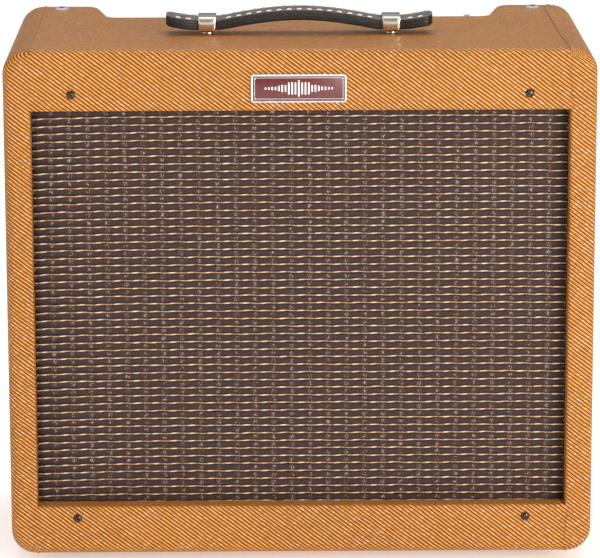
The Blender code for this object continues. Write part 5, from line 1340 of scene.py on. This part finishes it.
# Real laminations are 0.5 mm thick. The bands here come out 2 pi / (20 x scale) apart, about 6.3 mm.
layers = addNode(enamelTree, "ShaderNodeTexWave", {"bands_direction": "Y"}, {"Vector": spot,
                                                                             "Scale": 1 / (20 * 1.0 * mm),
                                                                             "Distortion": 0.6})
relief = addNode(enamelTree, "ShaderNodeBump", inputs={"Height": layers.outputs["Fac"], "Distance": 0.12 * mm,
                                                       "Strength": 0.6})
enamelTree.links.new(relief.outputs[0], enamelShader.inputs["Normal"])
blackEnamel = clouded("crackled black enamel", {"Roughness": 0.34, "Specular IOR Level": 0.5},
                      ("#0f0f11", "#1e1e21"), 1.6, polish=(0.26, 0.44), bump=0.05)
transformer = {"coreShare": 0.34, "bellInset": 7}
for node, name in (("power_transformer", "powerTransformer"), ("output_transformer", "outputTransformer")):
    low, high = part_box(node)
    middle = (low + high) / 2
    core = transformer["coreShare"] * (high.y - low.y) / 2
    stack = block((low.x, middle.y - core, low.z), (high.x, middle.y + core, high.z), 0.5 * mm)
    inset = transformer["bellInset"] * mm
    bells = []
    for side in (-1, 1):
        near, far = middle.y + side * core * 0.9, middle.y + side * (high.y - low.y) / 2
        rings = []
        for y, shrink, radius in ((near, 0.0, 5), (near + (far - near) * 0.70, 0.3, 5),
                                  (near + (far - near) * 0.90, 1.6, 5), (far, 5.0, 4)):
            outline = roundedRectangle(low.x + inset + shrink * mm, high.x - inset - shrink * mm,
                                       low.z + inset + shrink * mm, high.z - inset - shrink * mm, radius * mm, 4)
            rings.append([(x, y, z) for x, z in outline])
        bells.append(loft(rings))
    for x in (low.x + 3.6 * mm, high.x - 3.6 * mm):
        for z in (low.z + 3.6 * mm, high.z - 3.6 * mm):
            bells.append(lathe([(0, core + 2.6 * mm), (2.2 * mm, core + 2.6 * mm), (2.6 * mm, core + 2.2 * mm),
                                (2.6 * mm, core - 1 * mm), (0, core - 1 * mm)], (x, middle.y, z), 1, 6))
    newPiece(name, merged([stack, *(painted(m, 1) for m in bells)]), [enamel, blackEnamel],
             instead=[node], smooth=30)

# Circuit board with its row of electrolytic cans, film capacitors and resistors.
laminate = clouded("green glass-epoxy laminate", {"Roughness": 0.4, "Specular IOR Level": 0.5},
                   ("#3a5a24", "#4f7430"), 2, polish=(0.3, 0.5), bump=0.02)
sleeve = clouded("shrunk PVC sleeve", {"Roughness": 0.36}, ("#1c2c5e", "#25397a"), 3, bump=0.02)
film = clouded("dipped polyester film", {"Roughness": 0.3, "Coat Weight": 0.3}, ("#8e5a1a", "#b0762a"), 2,
               bump=0.03)
carbon = clouded("lacquered carbon film", {"Roughness": 0.35}, ("#b59a70", "#cfb68d"), 1.5, bump=0.02)
circuit = {"thick": 1.6, "cans": (-0.090, -0.040, 0.010, 0.060), "canY": 0.050, "films": 9, "resistors": 15}
low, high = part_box("circuit_board")
sheetTop = high.z
under = sheetTop - circuit["thick"] * mm
board = block((low.x, low.y, under), (high.x, high.y, sheetTop), 0.2 * mm)
parts = [painted(board, 0)]
for x in circuit["cans"]:
    parts.append(painted(lathe([(0, under), (7.2 * mm, under), (7.5 * mm, under - 0.8 * mm),
                                (7.1 * mm, under - 1.6 * mm), (7.5 * mm, under - 2.4 * mm),
                                (7.5 * mm, under - 18.6 * mm),
                                (6.9 * mm, under - 19.2 * mm), (0, under - 19.2 * mm)], (x, circuit["canY"], 0), 2,
                                28), 1))
for k in range(circuit["films"]):
    x = -0.100 + 0.022 * k
    parts.append(painted(block((x - 5 * mm, 0.067, under - 7 * mm), (x + 5 * mm, 0.072, under + 0.2 * mm), 1.2 * mm,
                               3), 2))
for k in range(circuit["resistors"]):
    x = -0.104 + 0.0138 * k
    line = [(x, 0.0785, under + 0.1 * mm), (x, 0.0785, under - 2 * mm), (x, 0.0795, under - 2.4 * mm),
            (x, 0.0900, under - 2.4 * mm), (x, 0.0910, under - 2 * mm), (x, 0.0910, under + 0.1 * mm)]
    parts.append(painted(tube(line, 0.35 * mm, 6), 4))
    parts.append(painted(lathe([(0, 0.0805), (1.3 * mm, 0.0806), (1.45 * mm, 0.0815), (1.25 * mm, 0.0825),
                                (1.25 * mm, 0.0870), (1.45 * mm, 0.0880), (1.3 * mm, 0.0889), (0, 0.0890)],
                               (x, 0, under - 2.4 * mm), 1, 14), 3))
newPiece("circuitBoard", merged(parts), [laminate, sleeve, film, carbon, zincPlate],
         instead=["circuit_board"])
print("stage: electronics")

# Mains inlet under the chassis, and a fuse holder beside it.
low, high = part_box("mains_inlet")
middle = (low + high) / 2
shell = loft([[(x, y, z) for x, y in roundedRectangle(middle.x - w * mm, middle.x + w * mm, middle.y - d * mm,
                                                      middle.y + d * mm, r * mm, 5)]
              for w, d, z, r in ((11.5, 8, high.z - 4.5 * mm, 2.5), (11.5, 8, low.z + 0.2 * mm, 2.5),
                                 (12.2, 8.7, low.z, 3), (14.4, 11.4, low.z, 3), (15, 12, low.z + 0.6 * mm, 3.4),
                                 (15, 12, low.z + 3 * mm, 3.4), (13.5, 10, low.z + 3 * mm, 2.5),
                                 (13.5, 10, high.z, 2.5))])
blades = [painted(block((middle.x + x * mm - 1.0 * mm, middle.y + y * mm - 2 * mm, low.z + 1.5 * mm),
                        (middle.x + x * mm + 1.0 * mm, middle.y + y * mm + 2 * mm, high.z - 4.4 * mm), 0.5 * mm), 1)
          for x, y in ((-7, -2), (7, -2), (0, 2.5))]
newPiece("mainsInlet", merged([shell, *blades]), [nylon, polishedNickel],
         instead=["mains_inlet"], smooth=30)
fuse = (middle.x + 0.031, middle.y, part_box("chassis")[0].z)
holder = lathe(inMetres([(0, 24), (6, 24), (6, 0.2), (8.5, 0.2), (8.7, -0.4), (8.7, -1.6), (8.2, -2.2), (6.6, -2.4),
                         (6.4, -9.2), (5.9, -9.8), (0, -9.9)]), fuse, 2, 28)
newPiece("fuseHolder", holder, phenolic)

# Reverb tank: a pressed pan with its open side down, two phono sockets and long springs inside.
low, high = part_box("reverb_tank")
refinish("reverb_tank", zincPlate)
ribs = []
for y in (low.y + 24 * mm, (low.y + high.y) / 2, high.y - 24 * mm):
    rings = []
    for z, inset in ((high.z - 0.3 * mm, 0), (high.z + 0.9 * mm, 1.0), (high.z + 1.2 * mm, 2.2)):
        outline = roundedRectangle(low.x + (18 + inset) * mm, high.x - (18 + inset) * mm, y - (7 - inset) * mm,
                                   y + (7 - inset) * mm, (6.8 - inset) * mm, 5)
        rings.append([(x, yy, z) for x, yy in outline])
    ribs.append(loft(rings))
newPiece("tankRibs", merged(ribs), zincPlate, smooth=30)
for name, x in (("In", -0.095), ("Out", 0.095)):
    spot = (x, high.y, (low.z + high.z) / 2)
    newPiece("tankSocket" + name, lathe(inMetres([(1.6, 0.4), (1.6, 8.4), (4.0, 8.6), (4.1, 8.0), (4.1, 2.2),
                                                  (6.6, 2.0), (6.8, 0.2), (1.6, 0.2)]), spot, 1, 28, ring=True),
             polishedNickel)
springs = {"turns": (70, 78, 66), "radius": 2.3, "wire": 0.28, "steps": 8}
coils = []
for y, turns in zip((low.y + 30 * mm, (low.y + high.y) / 2, high.y - 30 * mm), springs["turns"]):
    path = []
    for k in range(turns * springs["steps"] + 1):
        a = math.tau * k / springs["steps"]
        path.append((-0.088 + 0.176 * k / (turns * springs["steps"]), y + springs["radius"] * mm * math.cos(a),
                     (low.z + high.z) / 2 + springs["radius"] * mm * math.sin(a)))
    coils.append(tube(path, springs["wire"] * mm, 5))
newPiece("tankSprings", merged(coils), zincPlate)
for number, (x, y) in enumerate(((-0.108, 0), (0.108, 0), (-0.108, 1), (0.108, 1)), 1):
    phillipsScrew(f"tankScrew{number}", (x, (low.y + 9 * mm, high.y - 9 * mm)[y], high.z), 2, 1, 3.6 * mm, 1.6 * mm,
                  zincPlate)

# Loudspeaker: stoved basket, pressed-paper cone with a rolled edge, spider, coil, ferrite magnet.
hammered = clouded("hammered stoving enamel", {"Roughness": 0.36, "Metallic": 0.3, "Specular IOR Level": 0.5},
                   ("#1b1d20", "#34373c"), 2.4, polish=(0.25, 0.5), bump=0.12)
refinish("speaker_basket", hammered)
conePaper = clouded("pressed felted cone paper", {"Roughness": 0.88, "Specular IOR Level": 0.2,
                                                  "Sheen Weight": 0.1}, ("#2a2826", "#403d39"), 1.1,
                                                  polish=(0.8, 0.95), bump=0.08)
doped = clouded("doped linen surround", {"Roughness": 0.5}, ("#161514", "#262422"), 1.0, bump=0.05)
spiderCloth = clouded("phenolic-dipped linen spider", {"Roughness": 0.7}, ("#8a6a2c", "#b28c45"), 0.9, bump=0.06)
ferrite = clouded("sintered ferrite", {"Roughness": 0.55}, ("#202022", "#333336"), 1.3, polish=(0.45, 0.65),
                  bump=0.03)
coneLow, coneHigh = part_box("speaker_cone")
axisPoint = ((coneLow.x + coneHigh.x) / 2, 0.0, (coneLow.z + coneHigh.z) / 2)
front = [(132.3, -81.0), (130.6, -82.2), (128.4, -81.2), (126.2, -82.4), (124.0, -81.2), (122.2, -81.4),
         (120.8, -79.8), (100, -66.6), (80, -55.4), (60, -45.4),
         (40, -36.6), (24, -29.6), (22.4, -27.0)]
back = [(r + 0.2, y + 0.9) for r, y in front[::-1]]
edge = merged([lathe([(r * mm, y * mm) for r, y in front[:6] + back[-6:]], axisPoint, 1, 72, ring=True)])
paper = lathe([(r * mm, y * mm) for r, y in front[5:] + back[:-5]], axisPoint, 1, 72, ring=True)
newPiece("speakerCone", merged([painted(edge, 1), paper]), [conePaper, doped], "cone",
         ["speaker_cone"])
dome = [(34.2, -34.2), (31, -37.4), (25, -40.6), (17, -43.0), (8, -44.3), (0, -44.7)]
dome += [(max(r - 0.4, 0), y + 0.6) for r, y in dome[::-1]]
newPiece("dustCap", lathe([(r * mm, y * mm) for r, y in dome], axisPoint, 1, 48), conePaper, "cone")
waves = [((22.6 + 35.4 * k / 48) * mm, (-8.0 + 1.1 * math.sin(math.tau * 6 * k / 48)) * mm) for k in range(49)]
newPiece("spider", lathe(waves + [(r, y + 0.4 * mm) for r, y in waves[::-1]], axisPoint, 1, 48, ring=True),
         spiderCloth, "cone")
coilLow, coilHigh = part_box("voice_coil")
winding = [(21.9 * mm, coilLow.y), (22.25 * mm, coilLow.y)]
winding += [((22.5 + 0.22 * abs(math.sin(math.pi * k / 2))) * mm,
             coilHigh.y - (13.0 - 12.4 * k / 40) * mm) for k in range(41)]
winding += [(21.9 * mm, coilHigh.y)]
copper = clouded("enamelled copper wire", {"Metallic": 1.0, "Roughness": 0.28}, ("#8f4a22", "#c87941"), 0.8,
                 polish=(0.2, 0.36))
newPiece("voiceCoil", lathe(winding, axisPoint, 1, 48, ring=True), copper, "cone", ["voice_coil"])
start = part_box("speaker_magnet")[0].y
turned = lambda profile: lathe([(r * mm, start + h * mm) for r, h in profile], axisPoint, 1, 56, ring=True)
frontPlate = turned([(24, 0), (69.2, 0), (70, 0.8), (70, 7), (24, 7)])
ring = turned([(36, 7), (76.6, 7), (78, 8.2), (78, 25.8), (76.6, 27), (36, 27)])
rearPlate = turned([(5.2, 27), (70, 27), (70, 33.6), (68.6, 35), (6.4, 35), (5.2, 33.8)])
pole = turned([(5.2, 0.3), (20.2, 0.3), (20.5, 0.8), (20.5, 27.2), (5.2, 27.2)])
label = turned([(30, 34.9), (52, 34.9), (52, 35.15), (30, 35.15)])
labelPaper = clouded("varnished paper ring", {"Roughness": 0.4}, ("#9c8452", "#c2a872"), 4, bump=0.01)
newPiece("speakerMagnet", merged([frontPlate, painted(ring, 1), rearPlate, pole, painted(label, 2)]),
         [zincPlate, ferrite, labelPaper], instead=["speaker_magnet"])
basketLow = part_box("speaker_basket")[0]
nuts = {"count": 8, "circle": 0.1462, "seat": 1.2}
for number in range(nuts["count"]):
    a = math.tau * (number + 0.5) / nuts["count"]
    spot = (axisPoint[0] + nuts["circle"] * math.cos(a), basketLow.y + nuts["seat"] * mm,
            axisPoint[2] + nuts["circle"] * math.sin(a))
    nut = lathe(inMetres([(0, 0), (4.6, 0), (4.6, 3.0), (4.0, 3.6), (2.1, 3.6), (2.1, 7.2), (1.7, 7.8), (0, 7.8)]),
                spot, 1, 6)
    newPiece(f"speakerNut{number + 1}", nut, zincPlate, smooth=25)

# The short two-core lead from the chassis to the speaker's terminals, held at both ends.
lead = {"coreRadius": 1.3, "offset": 1.25, "stepsPerTurn": 22, "stepsPerSpan": 8}
leadRoute = [(-0.0300, 0.0460, 0.3172), (-0.0300, 0.0460, 0.3110), (-0.0295, 0.0430, 0.3045),
             (-0.0290, 0.0340, 0.2985), (-0.0285, 0.0210, 0.2955),
             (-0.0277, 0.0070, 0.2932), (-0.0270, -0.0040, 0.2908), (-0.0261, -0.0115, 0.2874)]
ends = [2 * Vector(leadRoute[0]) - Vector(leadRoute[1]), *map(Vector, leadRoute),
        2 * Vector(leadRoute[-1]) - Vector(leadRoute[-2])]
smoothRoute = []
for a, b, c, d in zip(ends, ends[1:], ends[2:], ends[3:]):
    for k in range(lead["stepsPerSpan"]):
        t = k / lead["stepsPerSpan"]
        smoothRoute.append(0.5 * (2 * b + (c - a) * t +
                           (2 * a - 5 * b + 4 * c - d) * t * t + (3 * b - a - 3 * c + d) * t ** 3))
smoothRoute.append(ends[-2])
cores = []
for which in (0, 1):
    path = []
    for k, point in enumerate(smoothRoute):
        ahead = (smoothRoute[min(k + 1, len(smoothRoute) - 1)] - smoothRoute[max(k - 1, 0)]).normalized()
        sideways = Vector((1, 0, 0)).cross(ahead).normalized()
        turn = math.tau * k / lead["stepsPerTurn"] + math.pi * which
        path.append(point + (Vector((1, 0, 0)) * math.cos(turn) + sideways * math.sin(turn)) * lead["offset"] * mm)
    cores.append(painted(tube(path, lead["coreRadius"] * mm, 10), which))
clothBrown = clouded("waxed brown cotton braid", {"Roughness": 0.8}, ("#3a2415", "#5f3f26"), 0.5, bump=0.08)
clothCream = clouded("waxed cream cotton braid", {"Roughness": 0.8}, ("#b8a882", "#ddd0b0"), 0.5, bump=0.08)
newPiece("speakerLead", merged(cores), [clothBrown, clothCream], instead=["speaker_lead"])
print("stage: tank, speaker and lead")
